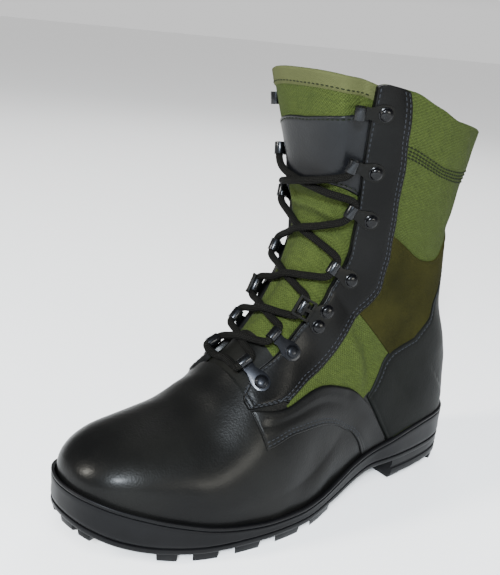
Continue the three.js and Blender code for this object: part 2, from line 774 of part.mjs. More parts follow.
// The whole form between two distances from it, with or without the throat
function upperLayer(outside, inside, throat) {
  const at = (i, j) => {
    const v = upperV(UPPER_STATIONS[i], j);
    return [toCollar(UPPER_STATIONS[i], v), v];
  };
  const quads = [];
  for (let i = 0; i < UPPER_STATIONS.length - 1; i += 1) {
    for (let j = 0; j < 2 * SIDE_COLUMNS + THROAT_COLUMNS; j += 1) {
      const overThroat = j >= SIDE_COLUMNS && j < SIDE_COLUMNS + THROAT_COLUMNS;
      if (throat && overThroat && UPPER_STATIONS[i] >= THROAT_START) continue;
      quads.push([at(i, j), at(i + 1, j), at(i + 1, j + 1), at(i, j + 1)]);
    }
  }
  return sheet(quads, (u, v) => skin(u, v, outside), (u, v) => skin(u, v, inside));
}

function upper() {
  return upperLayer(0, -UPPER_WALL, true);
}

// The overlays are cut from layers just outside the upper, by a thick sheet over each panel.
const CUT_OUT = 6;
const CUT_IN = 5;
const mirror = (side, v) => (side > 0 ? v : 1 - v);
const overlayLayers = new Map();

function overlay(quads, thickness = OVERLAY) {
  if (!overlayLayers.has(thickness)) {
    overlayLayers.set(thickness, toManifold(upperLayer(GAP + thickness, GAP, false)));
  }
  const cutter = toManifold(sheet(quads, (u, v) => skin(u, v, CUT_OUT), (u, v) => skin(u, v, -CUT_IN)));
  return fromManifold(overlayLayers.get(thickness).intersect(cutter));
}

function sidePanel(side, rows, columns, place) {
  const quads = gridQuads(rows, columns, (i, j) => {
    const [u, v] = place(i / rows, j / columns);
    return [u, mirror(side, v)];
  });
  return overlay(quads);
}

// The eyestay's lower end runs up to its rear edge behind a corner, in the first part of its length.
const STAY_EDGE = 0.003;
const STAY_START = 0.44;
const STAY_TOP = COLLAR_FRONT_U - 0.002;
const STAY_ROWS_COUNT = 20;
const STAY_COLUMNS = 3;
const STAY_SLANT = 0.05;
const STAY_SLANT_PART = 0.2;
const STAY_CORNER = 0.6;

function eyestay(side) {
  return sidePanel(side, STAY_ROWS_COUNT, STAY_COLUMNS, (a, b) => {
    const rise = STAY_SLANT * smooth((b - STAY_CORNER) / (1 - STAY_CORNER));
    const u = lerp(STAY_START, STAY_TOP, a) + rise * (1 - smooth(a / STAY_SLANT_PART));
    return [u, lerp(throatV(u) - STAY_EDGE, stayRearV(u), b)];
  });
}

// The lowest v whose overlay clears the sole's rim
const RIM_SEARCH_V = 0.4;
const RIM_SEARCH_STEPS = 24;

function rimV(u) {
  let low = 0;
  let high = RIM_SEARCH_V;
  const above = (v) => {
    const p = formPoint(u, v);
    return p.z - rimZ(p.x) - GAP * 2;
  };
  if (above(0) > 0) return 0;
  for (let i = 0; i < RIM_SEARCH_STEPS; i += 1) {
    const middle = (low + high) / 2;
    if (above(middle) > 0) high = middle;
    else low = middle;
  }
  return high;
}

// The side panel between the eyestay and the counter: its lower seam and its top edge
const QUARTER_ROWS = [
  { lowU: 0.443, lowV: 0.293, topU: 0.434, topV: 0.36 },
  { lowU: 0.455, lowV: 0.29, topU: 0.455, topV: 0.342 },
  { lowU: 0.476, lowV: 0.285, topU: 0.479, topV: 0.325 },
  { lowU: 0.5, lowV: 0.263, topU: 0.507, topV: 0.306 },
  { lowU: 0.522, lowV: 0.23, topU: 0.532, topV: 0.28 },
  { lowU: 0.534, lowV: 0.2, topU: 0.549, topV: 0.245 },
  { lowU: 0.54, lowV: 0.165, topU: 0.56, topV: 0.212 },
  { lowU: 0.541, lowV: 0.13, topU: 0.564, topV: 0.18 },
  { lowU: 0.54, lowV: 0.09, topU: 0.564, topV: 0.13 },
  { lowU: 0.538, lowV: 0, topU: 0.561, topV: 0 },
];
const quarterPlaces = QUARTER_ROWS.map((_, i) => i / (QUARTER_ROWS.length - 1));
const quarterColumns = {};
for (const name of Object.keys(QUARTER_ROWS[0])) {
  quarterColumns[name] = column(quarterPlaces, QUARTER_ROWS.map((r) => r[name]));
}

const QUARTER_STEPS = 14;
const QUARTER_COLUMNS = 3;

function quarter(side) {
  return sidePanel(side, QUARTER_STEPS, QUARTER_COLUMNS, (a, b) => {
    const u = lerp(quarterColumns.lowU(a), quarterColumns.topU(a), b);
    const v = lerp(quarterColumns.lowV(a), quarterColumns.topV(a), b);
    return [u, Math.max(v, rimV(u))];
  });
}

// The top edge of the heel counter, as v on each side at places of u
const COUNTER_ROWS = [
  { u: 0.566, top: 0.09 },
  { u: 0.57, top: 0.195 },
  { u: 0.6, top: 0.197 },
  { u: 0.64, top: 0.196 },
  { u: 0.69, top: 0.192 },
  { u: 0.75, top: 0.165 },
  { u: 0.8, top: 0.12 },
  { u: 0.84, top: 0.06 },
  { u: 0.858, top: 0.02 },
];
const counterTop = column(COUNTER_ROWS.map((r) => r.u), COUNTER_ROWS.map((r) => r.top));
const COUNTER_STATIONS = [
  0.566, 0.57, 0.59, 0.62, 0.65, CLOSED_FROM, 0.695, 0.71, 0.735, 0.765, 0.8, 0.825, 0.845, 0.858,
];
const COUNTER_COLUMNS = 4;

function counter() {
  const quads = [1, -1].flatMap((side) =>
    gridQuads(COUNTER_STATIONS.length - 1, COUNTER_COLUMNS, (i, j) => {
      const u = COUNTER_STATIONS[i];
      const share = side > 0 ? j / COUNTER_COLUMNS : 1 - j / COUNTER_COLUMNS;
      return [u, mirror(side, lerp(rimV(u), counterTop(u), share))];
    }),
  );
  return overlay(quads);
}

// The webbing band above the counter, from one eyestay round the back to the other: its lower
// edge and its top edge
const WEBBING_ROWS = [
  { lowU: 0.622, lowV: 0.2, topU: 0.618, topV: 0.26 },
  { lowU: 0.66, lowV: 0.2, topU: 0.66, topV: 0.251 },
  { lowU: 0.7, lowV: 0.196, topU: 0.72, topV: 0.242 },
  { lowU: 0.74, lowV: 0.179, topU: 0.787, topV: 0.225 },
  { lowU: 0.775, lowV: 0.153, topU: 0.8, topV: 0.19 },
  { lowU: 0.806, lowV: 0.122, topU: 0.82, topV: 0.15 },
  { lowU: 0.837, lowV: 0.078, topU: 0.85, topV: 0.1 },
  { lowU: 0.866, lowV: 0, topU: 0.888, topV: 0 },
];
const webbingPlaces = WEBBING_ROWS.map((_, i) => i / (WEBBING_ROWS.length - 1));
const webbingColumns = {};
for (const name of Object.keys(WEBBING_ROWS[0])) {
  webbingColumns[name] = column(webbingPlaces, WEBBING_ROWS.map((r) => r[name]));
}
const WEBBING_STEPS = 12;
const WEBBING_COLUMNS = 2;

function webbing() {
  const get = webbingColumns;
  const quads = [1, -1].flatMap((side) =>
    gridQuads(WEBBING_STEPS, WEBBING_COLUMNS, (i, j) => {
      const a = i / WEBBING_STEPS;
      const b = side > 0 ? j / WEBBING_COLUMNS : 1 - j / WEBBING_COLUMNS;
      const v = lerp(get.lowV(a), get.topV(a), b);
      return [lerp(get.lowU(a), get.topU(a), b), mirror(side, v)];
    }),
  );
  return overlay(quads, WEBBING);
}

// The tongue lies under the edges of the throat and swells out between them.
const TONGUE_CLEAR = 0.7;
const TONGUE_START = 0.41;
const TONGUE_TOP = 0.978;
const TONGUE_FREE = 0.02;
const TONGUE_SWELL = 0.055;
const TONGUE_PUFF = [
  { u: 0.4, puff: -UPPER_WALL - TONGUE_CLEAR },
  { u: 0.465, puff: -UPPER_WALL - TONGUE_CLEAR },
  { u: 0.52, puff: -1.2 },
  { u: 0.8, puff: -0.6 },
  { u: 0.87, puff: 1.5 },
  { u: 0.98, puff: 5 },
];
const tonguePuff = column(TONGUE_PUFF.map((r) => r.u), TONGUE_PUFF.map((r) => r.puff));

function tongueOffset(u, v) {
  const w = Math.min(v, 1 - v);
  const out = smooth((w - throatV(u) - TONGUE_FREE) / TONGUE_SWELL);
  return lerp(-UPPER_WALL - TONGUE_CLEAR, tonguePuff(u), out);
}

// The tongue's face, with the binding's step along its top. Its top is arched: u is raised at
// the middle and lowered at the edges.
const BINDING_U = 0.935;
const TONGUE_ARCH = 0.009;
const TONGUE_ARCH_HALF = 0.17;

function tongueFace(u, v, above = 0) {
  const bound = u > BINDING_U ? BINDING_STEP : 0;
  const free = smooth((Math.min(v, 1 - v) - throatV(u)) / TONGUE_FREE);
  const bend = 1 - 2 * ((v - 0.5) / TONGUE_ARCH_HALF) ** 2;
  const arch = TONGUE_ARCH * bend * smooth((u - COLLAR_BEND_U) / (TONGUE_TOP - COLLAR_BEND_U));
  return skin(u + arch, v, tongueOffset(u, v) + above + bound * free);
}

const TONGUE_STATIONS = [
  TONGUE_START, THROAT_START, 0.475, 0.51, 0.55, 0.585, 0.62, 0.66, CLOSED_FROM, 0.74, 0.78, 0.82,
  0.855, COLLAR_BEND_U, 0.934, 0.937, TONGUE_TOP,
];
const TONGUE_COLUMNS = [0, 0.02, 0.05, 0.08];

function tongueLayer(outside, inside) {
  const half = TONGUE_COLUMNS.length + 1;
  const quads = gridQuads(TONGUE_STATIONS.length - 1, 2 * half, (i, j) => {
    const u = TONGUE_STATIONS[i];
    const k = Math.min(j, 2 * half - j);
    if (k === half) return [u, 0.5];
    const v = k === 0 ? upperV(u, SIDE_COLUMNS - 1) : throatV(u) + TONGUE_COLUMNS[k - 1];
    return [u, j < half ? v : 1 - v];
  });
  return sheet(quads, (u, v) => tongueFace(u, v, outside), (u, v) => tongueFace(u, v, inside));
}

function tongue() {
  return tongueLayer(0, -TONGUE_WALL);
}

// The leather patch on the tongue. Its ends slope as the tongue's sections do.
const PATCH_LOW_U = 0.752;
const PATCH_TOP_U = 0.882;
const PATCH_SLOPE = 0.06;
const PATCH_EDGE = 0.018;
const PATCH_ROWS_COUNT = 6;
const PATCH_COLUMNS = 8;
const PATCH_CUT_IN = 1;

function patch() {
  const edge = PATCH_EDGE + throatV((PATCH_LOW_U + PATCH_TOP_U) / 2);
  const quads = gridQuads(PATCH_ROWS_COUNT, PATCH_COLUMNS, (i, j) => {
    const v = lerp(edge, 1 - edge, j / PATCH_COLUMNS);
    const slope = PATCH_SLOPE * Math.abs(v - 0.5);
    return [lerp(PATCH_LOW_U, PATCH_TOP_U, i / PATCH_ROWS_COUNT) + slope, v];
  });
  const inside = (u, v) => tongueFace(u, v, -PATCH_CUT_IN);
  const cutter = sheet(quads, (u, v) => tongueFace(u, v, CUT_OUT), inside);
  return fromManifold(toManifold(tongueLayer(GAP + PATCH, GAP)).intersect(toManifold(cutter)));
}

// The lace's hardware: the rivet and the end of the loop over the throat
const LOOP_ROWS = [
  { u: 0.474, v: 0.388, endU: 0.472, endV: 0.432 },
  { u: 0.522, v: 0.37, endU: 0.518, endV: 0.413 },
  { u: 0.572, v: 0.345, endU: 0.564, endV: 0.392 },
  { u: 0.642, v: 0.318, endU: 0.632, endV: 0.372 },
  { u: 0.77, v: 0.297, endU: 0.752, endV: 0.36 },
  { u: 0.842, v: 0.295, endU: 0.828, endV: 0.355 },
  { u: 0.924, v: 0.3, endU: 0.916, endV: 0.36 },
];
const LOOP_SEAT = 0.8;
const LOCK_ROW = 2;
const LOCK_SPREAD = 5.2;
const LOCK_JAW = 10;
const LOCK_JAW_THICK = 1.4;
const LOCK_JAW_BACK = 1.5;
const LOCK_RISE = 6;
const LOCK_NARROW = 0.6;
const LOOP_NORMAL_PART = 0.35;

// A frame on the eyestay: x runs to the loop's end, y along the eyestay and z out
function loopFrame(row, side) {
  const v = mirror(side, row.v);
  const end = mirror(side, row.endV);
  const lift = GAP + OVERLAY + LOOP_SEAT;
  const seat = skin(row.u, v, lift);
  const tip = skin(row.endU, end, lift);
  const normal = formNormal(lerp(row.u, row.endU, LOOP_NORMAL_PART), lerp(v, end, LOOP_NORMAL_PART));
  const ahead = tip.clone().sub(seat);
  ahead.addScaledVector(normal, -ahead.dot(normal)).normalize();
  const aside = new THREE.Vector3().crossVectors(normal, ahead);
  const matrix = new THREE.Matrix4().makeBasis(ahead, aside, normal);
  return { seat, matrix };
}

// The loop's plate: a round head behind, a shoulder ahead of it and a straight end at the roll
const LOOP_SHOULDER = 4;
const LOOP_SHOULDER_OUT = 0.4;
const LOOP_HEAD_STEPS = 6;

function plateShape(headX, headY) {
  const shape = new THREE.Shape();
  shape.moveTo(LOOP_REACH, LOOP_ROLL_LENGTH / 2);
  shape.lineTo(LOOP_SHOULDER, headY + LOOP_SHOULDER_OUT);
  for (let i = 0; i <= LOOP_HEAD_STEPS; i += 1) {
    const turn = Math.PI * (0.5 + i / LOOP_HEAD_STEPS);
    shape.lineTo(headX * Math.cos(turn), headY * Math.sin(turn));
  }
  shape.lineTo(LOOP_SHOULDER, -headY - LOOP_SHOULDER_OUT);
  shape.lineTo(LOOP_REACH, -LOOP_ROLL_LENGTH / 2);
  return new THREE.ExtrudeGeometry(shape, { depth: LOOP_PLATE, bevelEnabled: false });
}

// The rolled end that the lace runs through, its bore along y
const ROLL_RISE = 2.2;
const ROLL_CENTRE = LOOP_REACH + LOOP_BORE / 2;
const ROLL_SIDES = 7;

function roll() {
  const ring = (radius) =>
    Array.from({ length: ROLL_SIDES }, (_, i) => {
      const turn = ((i + 0.5) / ROLL_SIDES) * 2 * Math.PI;
      return new THREE.Vector2(radius * Math.cos(turn), radius * Math.sin(turn));
    });
  const shape = new THREE.Shape(ring(LOOP_BORE / 2 + LOOP_ROLL_WALL));
  shape.holes.push(new THREE.Path(ring(LOOP_BORE / 2 / Math.cos(Math.PI / ROLL_SIDES))));
  const geometry = new THREE.ExtrudeGeometry(shape, { depth: LOOP_ROLL_LENGTH, bevelEnabled: false });
  geometry.translate(0, 0, -LOOP_ROLL_LENGTH / 2);
  geometry.rotateX(Math.PI / 2);
  geometry.translate(ROLL_CENTRE, 0, ROLL_RISE);
  return geometry;
}

function loop() {
  return joined([plateShape(LOOP_HEAD, LOOP_HEAD), roll()]);
}

// The ankle lock: a wider plate for two rivets, with the same roll behind a raised jaw
function lock() {
  const jaw = new THREE.BoxGeometry(LOCK_JAW_THICK, LOCK_JAW, LOCK_RISE);
  jaw.translate(LOOP_REACH - LOCK_JAW_BACK, 0, LOCK_RISE / 2);
  return joined([plateShape(LOOP_HEAD, LOCK_SPREAD + LOOP_HEAD - LOCK_NARROW), roll(), jaw]);
}

// The rivet's domed head, as shares of its radius and height
const RIVET_PROFILE = [
  { out: 0, up: 0 },
  { out: 1, up: 0 },
  { out: 0.78, up: 0.75 },
  { out: 0, up: 1 },
];
const RIVET_SIDES = 8;

function rivet() {
  const profile = RIVET_PROFILE.map((p) => new THREE.Vector2(p.out * RIVET_RADIUS, p.up * RIVET_HEIGHT));
  const geometry = new THREE.LatheGeometry(profile, RIVET_SIDES);
  geometry.rotateX(Math.PI / 2);
  return geometry;
}

// The lace: a bar across the lowest pair of loops, and a crossing between each pair above
const LACE_PAIRS = 6;
const LACE_STEPS = 9;
const LACE_SIDES = 6;
const LACE_END_GAP = 0.8;
const LACE_LIFT = 1.2;

function rollEnd(k, side, up) {
  const { seat, matrix } = loopFrame(LOOP_ROWS[k], side);
  const along = side > 0 ? -up : up;
  const local = new THREE.Vector3(ROLL_CENTRE, along * (LOOP_ROLL_LENGTH / 2 + LACE_END_GAP), ROLL_RISE);
  const way = new THREE.Vector3(0, along, 0).applyMatrix4(matrix);
  return { point: local.applyMatrix4(matrix).add(seat), way };
}

function strand(points) {
  const path = new THREE.CatmullRomCurve3(points, false, 'centripetal');
  const section = new THREE.Shape(
    Array.from({ length: LACE_SIDES }, (_, i) => {
      const turn = (i / LACE_SIDES) * 2 * Math.PI;
      return new THREE.Vector2((LACE / 2) * Math.cos(turn), (LACE / 2) * Math.sin(turn));
    }),
  );
  return new THREE.ExtrudeGeometry(section, { extrudePath: path, steps: LACE_STEPS, bevelEnabled: false });
}

const PATCH_LEAD = 0.02;

function overTongue(u, v) {
  const patched = u > PATCH_LOW_U - PATCH_LEAD ? GAP + PATCH : 0;
  return tongueFace(u, v, patched + LACE / 2 + LACE_LIFT);
}

// The place on the ridge that is nearest to a point
const RIDGE_STEP = 0.002;

function ridgeU(point) {
  let best = TONGUE_START;
  for (let u = TONGUE_START; u < TONGUE_TOP; u += RIDGE_STEP) {
    const distance = formPoint(u, 0.5).distanceTo(point);
    if (distance < formPoint(best, 0.5).distanceTo(point)) best = u;
  }
  return best;
}

const LACE_LEAD = 2.5;
const LACE_SHOULDER = 0.055;
const LACE_SHOULDER_FALL = 0.2;

// A strand from one roll's end to another's, over the swell of the tongue
function strandBetween(start, end, side) {
  const middle = start.point.clone().lerp(end.point, 0.5);
  const u = ridgeU(middle);
  const fall = ridgeU(end.point.clone().setY(0)) - ridgeU(start.point.clone().setY(0));
  return strand([
    start.point,
    start.point.clone().addScaledVector(start.way, LACE_LEAD),
    overTongue(u - fall * LACE_SHOULDER_FALL, 0.5 - side * LACE_SHOULDER),
    overTongue(u, 0.5),
    overTongue(u + fall * LACE_SHOULDER_FALL, 0.5 + side * LACE_SHOULDER),
    end.point.clone().addScaledVector(end.way, LACE_LEAD),
    end.point,
  ]);
}

function crossing(k) {
  const strands = [1, -1].map((side) =>
    strandBetween(rollEnd(k, side, 1), rollEnd(k + 1, -side, -1), side),
  );
  return joined(strands);
}

function laceBar() {
  return strandBetween(rollEnd(0, 1, -1), rollEnd(0, -1, -1), 1);
}

// Colours and finish
function finish(color, roughness, metalness = 0) {
  return new THREE.MeshStandardMaterial({ color, roughness, metalness });
}
const RUBBER = finish(0x2b2c2e, 0.7);
const LEATHER = finish(0x17181b, 0.4);
const CANVAS = finish(0x5f7a36, 0.95);
const WEB = finish(0x3c3a1e, 0.95);
const METAL = finish(0x35373b, 0.35, 0.9);
const LACING = finish(0x141414, 0.9);
const LINING = finish(0x3a3a36, 0.9);

const boot = new THREE.Group();
boot.position.x = -HEEL_REST_BACK;

function piece(name, geometry, material) {
  const mesh = new THREE.Mesh(geometry, material);
  mesh.name = name;
  boot.add(mesh);
  return mesh;
}

piece('outsole', outsole(), RUBBER);
piece('midsole', midsole(), RUBBER);
piece('insole', insole(), LINING);
piece('upper', upper(), CANVAS);
piece('tongue', tongue(), CANVAS);
piece('tongue_patch', patch(), LEATHER);
piece('heel_counter', counter(), LEATHER);
piece('ankle_webbing', webbing(), WEB);

for (const [label, side] of [['outer', 1], ['inner', -1]]) {
  piece(`eyestay_${label}`, eyestay(side), LEATHER);
  piece(`quarter_${label}`, quarter(side), LEATHER);
  LOOP_ROWS.forEach((row, k) => {
    const { seat, matrix } = loopFrame(row, side);
    const isLock = k === LOCK_ROW;
    const kind = isLock ? 'lock' : 'loop';
    const holder = piece(`${kind}_${label}_${k + 1}`, isLock ? lock() : loop(), METAL);
    holder.position.copy(seat);
    holder.quaternion.setFromRotationMatrix(matrix);
    for (const [n, aside] of isLock ? [[1, -LOCK_SPREAD], [2, LOCK_SPREAD]] : [[1, 0]]) {
      const head = piece(`rivet_${label}_${k + 1}${isLock ? `_${n}` : ''}`, rivet(), METAL);
      head.position.copy(new THREE.Vector3(0, aside, LOOP_PLATE + GAP).applyMatrix4(matrix).add(seat));
      head.quaternion.copy(holder.quaternion);
    }
  });
}

piece('lace_bar', laceBar(), LACING);
for (let k = 0; k < LACE_PAIRS - 1; k += 1) {
  piece(`lace_cross_${k + 1}`, crossing(k), LACING);
}

export default boot;
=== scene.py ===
import math

import bmesh
import bpy
import numpy as np
from mathutils import Matrix, Vector


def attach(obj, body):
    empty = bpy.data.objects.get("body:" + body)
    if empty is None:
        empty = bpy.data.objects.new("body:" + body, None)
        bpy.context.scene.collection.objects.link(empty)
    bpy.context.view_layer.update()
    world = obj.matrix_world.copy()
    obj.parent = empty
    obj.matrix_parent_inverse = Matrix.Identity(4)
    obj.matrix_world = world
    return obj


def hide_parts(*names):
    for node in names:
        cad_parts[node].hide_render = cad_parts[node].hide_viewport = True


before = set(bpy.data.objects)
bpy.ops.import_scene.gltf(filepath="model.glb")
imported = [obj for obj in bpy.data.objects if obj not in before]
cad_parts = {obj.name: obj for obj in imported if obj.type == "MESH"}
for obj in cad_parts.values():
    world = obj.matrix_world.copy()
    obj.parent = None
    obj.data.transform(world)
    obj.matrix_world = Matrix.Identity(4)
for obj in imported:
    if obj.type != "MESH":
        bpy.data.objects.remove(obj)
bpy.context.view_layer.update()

MM = 0.001

# The boot's sizes in millimetres, as in the part's own frame before its origin moves to the heel
SOLE_LENGTH = 298
BALL_WIDTH = 110
SHAFT_HEIGHT = 262
HEEL_SEAT = 40
HEEL_LENGTH = 75
TOE_SPRING = 17
WAIST_RISE = 14
LUG_DEPTH = 5.2
TOE_LUG_DEPTH = 3.4
PAD_DEPTH = 2.2
PLATE = 3.7
RIM_LIP = 4
RIM_WIDTH = 2.7
HEEL_REST_BACK = 38
GAP = 0.3
UPPER_WALL = 2.4
TONGUE_WALL = 3
UPPER_INSET = RIM_WIDTH + GAP

# The sole's outline and rim: along is a share of the length, lateral and medial are shares of
# the ball width, rim is a share of the heel seat
SOLE_TIP = (1, -0.09, 1.03)
SOLE_BACK = (0, 0, 1.01)
SOLE_ROWS = [
    # along, lateral, medial, rim
    (0.007, 0.082, 0.086, 1.01),
    (0.027, 0.173, 0.177, 1.01),
    (0.057, 0.245, 0.245, 1.01),
    (0.094, 0.288, 0.286, 1.01),
    (0.151, 0.321, 0.314, 0.99),
    (0.215, 0.342, 0.325, 0.93),
    (0.262, 0.348, 0.32, 0.855),
    (0.326, 0.348, 0.315, 0.76),
    (0.386, 0.375, 0.315, 0.675),
    (0.446, 0.418, 0.333, 0.565),
    (0.513, 0.462, 0.391, 0.455),
    (0.57, 0.486, 0.455, 0.415),
    (0.638, 0.491, 0.495, 0.42),
    (0.705, 0.475, 0.505, 0.46),
    (0.772, 0.441, 0.494, 0.535),
    (0.839, 0.373, 0.466, 0.65),
    (0.899, 0.3, 0.425, 0.79),
    (0.946, 0.22, 0.359, 0.91),
    (0.977, 0.129, 0.282, 0.99),
    (0.993, 0.036, 0.2, 1.02),
]
SPRING_START = 0.785
WAIST_FRONT = 0.557
WAIST_BACK = 0.302
PAD_START = 0.5
PAD_END = 0.37

# The upper's sections, as shares of the named sizes
UPPER_COLUMNS = (
    "back", "rise", "front_x", "front_z", "ridge", "lateral", "medial", "belly", "crown", "rear",
)
UPPER_ROWS = [
    (1, 0, 0.99, 0.143, -0.09, 1, 1, 0.3, 2.2, 2),
    (0.9975, 0, 0.9876, 0.166, -0.09, 1, 1, 0.3, 2.2, 2),
    (0.99, 0, 0.98, 0.188, -0.09, 1, 1, 0.3, 2.2, 2),
    (0.976, 0, 0.966, 0.206, -0.088, 1, 1, 0.3, 2.2, 2),
    (0.952, 0, 0.943, 0.224, -0.083, 1, 1, 0.3, 2.2, 2),
    (0.914, 0, 0.906, 0.241, -0.075, 1, 1, 0.28, 2.2, 2),
    (0.812, 0, 0.805, 0.266, -0.05, 1, 1, 0.25, 2.1, 2),
    (0.762, 0, 0.758, 0.284, -0.04, 1, 1, 0.22, 2, 2),
    (0.675, 0, 0.698, 0.335, -0.02, 1, 1, 0.2, 1.9, 2),
    (0.545, 0, 0.648, 0.4, -0.01, 0.98, 1, 0.2, 1.9, 2),
    (0.387, 0, 0.591, 0.481, 0, 1, 1.05, 0.25, 2.1, 2),
    (0.223, 0, 0.542, 0.567, 0, 1.02, 1.03, 0.4, 2.4, 2.2),
    (0.086, 0, 0.513, 0.641, -0.005, 1.04, 1.08, 0.5, 2.7, 2.3),
    (0, 0, 0.503, 0.712, -0.01, 1.06, 1.13, 0.5, 2.8, 2.3),
    (0.012, 0.107, 0.502, 0.763, -0.015, 1.07, 1.16, 0.5, 2.9, 2.3),
    (0.066, 0.26, 0.503, 0.824, -0.02, 1.09, 1.2, 0.5, 2.9, 2.3),
    (0.098, 0.427, 0.508, 0.885, -0.025, 1.15, 1.3, 0.5, 2.9, 2.3),
    (0.086, 0.595, 0.516, 0.939, -0.03, 1.24, 1.4, 0.5, 3, 2.3),
    (0.05, 0.763, 0.526, 1, -0.035, 1.32, 1.5, 0.5, 3, 2.3),
    (0.044, 0.809, 0.53, 1.038, -0.035, 1.33, 1.52, 0.5, 3, 2.3),
]
# The share of each half section below the crown, and how the low wall blends into the shaft
LOW_PART = 0.4
HEEL_WIDE = 0.15
WALL_START = 3
WALL_BLEND = 30
WALL_POWER = 6
# The first row whose section is closed round the back
CLOSED_ROW = 13
CLOSED_FROM = CLOSED_ROW / (len(UPPER_ROWS) - 1)
THROAT_START = 0.445
NORMAL_STEP = 0.002
FIRST_NORMAL_U = 0.004

# The collar's height at the back and at the front, and where it changes on the way round one side
COLLAR_BEND_U = 0.885
COLLAR_BACK_U = 0.947
COLLAR_FRONT_U = 0.985
COLLAR_RISE_FROM = 0.17
COLLAR_RISE_WIDTH = 0.07
CORNER_FROM = 0.295
CORNER_WIDTH = 0.03
CORNER_DROP = 0.014


def lerp(a, b, t):
    return a + (b - a) * t


def smooth(t):
    k = np.clip(t, 0, 1)
    return k * k * (3 - 2 * k)


def on_side(v, side):
    """A place on the outer side as it is, or its mirror on the inner side."""
    return v if side > 0 else 1 - v


def from_edge(v):
    """How far round v is from the nearer of the sole's two edges."""
    return np.minimum(v, 1 - v)


def column(places, values):
    """Cubic interpolation with no overshoot, through values at the given places."""
    x = np.asarray(places, float)
    y = np.asarray(values, float)
    slopes = np.diff(y) / np.diff(x)
    tangents = np.empty(len(y))
    tangents[0] = slopes[0]
    tangents[-1] = slopes[-1]
    before, after = slopes[:-1], slopes[1:]
    flat = before * after <= 0
    total = np.where(flat, 1, before + after)
    tangents[1:-1] = np.where(flat, 0, 2 * before * after / total)

    def at(place):
        p = np.clip(np.asarray(place, float), x[0], x[-1])
        i = np.clip(np.searchsorted(x, p, side="left") - 1, 0, len(x) - 2)
        step = x[i + 1] - x[i]
        t = (p - x[i]) / step
        a = 2 * t**3 - 3 * t**2 + 1
        b = t**3 - 2 * t**2 + t
        c = -2 * t**3 + 3 * t**2
        d = t**3 - t**2
        return a * y[i] + b * step * tangents[i] + c * y[i + 1] + d * step * tangents[i + 1]

    return at


def table_columns(names, rows):
    places = [i / (len(rows) - 1) for i in range(len(rows))]
    return {name: column(places, [r[k] for r in rows]) for k, name in enumerate(names)}


upper_columns = table_columns(UPPER_COLUMNS, UPPER_ROWS)


# The sole's outline

OUTLINE_KNOTS = np.array(
    [(0, SOLE_BACK[1] * BALL_WIDTH)]
    + [(r[0] * SOLE_LENGTH, r[1] * BALL_WIDTH) for r in SOLE_ROWS]
    + [(SOLE_LENGTH, SOLE_TIP[1] * BALL_WIDTH)]
    + [(r[0] * SOLE_LENGTH, -r[2] * BALL_WIDTH) for r in reversed(SOLE_ROWS)]
)


MIN_SPACING = 1e-3
TANGENT_STEP = 1e-4


def spline(q, t):
    """A point at t, 0 to 1, between the middle two of four points of a curve."""
    d = [np.linalg.norm(q[k + 1] - q[k], axis=-1)[..., None] ** 0.5 for k in range(3)]
    d = [np.maximum(spacing, MIN_SPACING) for spacing in d]
    slopes = [(q[k + 1] - q[k]) / d[k] for k in range(3)]
    m1 = (slopes[0] - (q[2] - q[0]) / (d[0] + d[1]) + slopes[1]) * d[1]
    m2 = (slopes[1] - (q[3] - q[1]) / (d[1] + d[2]) + slopes[2]) * d[1]
    c2 = 3 * (q[2] - q[1]) - 2 * m1 - m2
    c3 = 2 * (q[1] - q[2]) + m1 + m2
    return q[1] + m1 * t + c2 * t**2 + c3 * t**3


def outline(share, inset=0.0):
    """Points of the closed outline at shares of its way round, drawn in by inset."""
    n = len(OUTLINE_KNOTS)

    def curve(s):
        p = (np.asarray(s) % 1) * n
        i = np.floor(p).astype(int)
        return spline([OUTLINE_KNOTS[(i + k) % n] for k in (-1, 0, 1, 2)], (p - i)[..., None])

    share = np.asarray(share, float)
    tangent = curve(share + TANGENT_STEP) - curve(share - TANGENT_STEP)
    tangent /= np.linalg.norm(tangent, axis=-1)[..., None]
    inward = np.stack([tangent[..., 1], -tangent[..., 0]], -1)
    return curve(share) + inward * np.asarray(inset)[..., None]


def side_shares(shares, side):
    """Shares of the outline's way round, from the heel to the toe of one side."""
    return shares if side > 0 else (1 - shares) % 1


rim_share = column(
    [SOLE_BACK[0], *(r[0] for r in SOLE_ROWS), SOLE_TIP[0]],
    [SOLE_BACK[2], *(r[3] for r in SOLE_ROWS), SOLE_TIP[2]],
)


def rim_z(x):
    return rim_share(x / SOLE_LENGTH) * HEEL_SEAT


def tread_z(x):
    along = x / SOLE_LENGTH
    spring = np.clip((along - SPRING_START) / (1 - SPRING_START), 0, 1)
    waist = smooth((WAIST_FRONT - along) / (WAIST_FRONT - WAIST_BACK))
    return TOE_SPRING * spring**2 + WAIST_RISE * waist


def plate_z(x):
    along = x / SOLE_LENGTH
    pad = smooth((PAD_START - along) / (PAD_START - PAD_END))
    toe = smooth((along - SPRING_START) / (1 - SPRING_START))
    return tread_z(x) + lerp(lerp(LUG_DEPTH, TOE_LUG_DEPTH, toe), PAD_DEPTH, pad)


def parting_z(x):
    return plate_z(x) + PLATE


# The upper's form

FINE = np.linspace(0, 0.5, 800)
edge_lateral, edge_medial = (outline(side_shares(FINE, side), UPPER_INSET) for side in (1, -1))
EDGE_BACK = edge_lateral[0, 0]
EDGE_TIP = edge_lateral[-1, 0]


def edge_y(x, side):
    outer = np.interp(x, edge_lateral[:, 0], edge_lateral[:, 1])
    inner = np.interp(x, edge_medial[:, 0], edge_medial[:, 1])
    return np.where(side > 0, outer, inner)


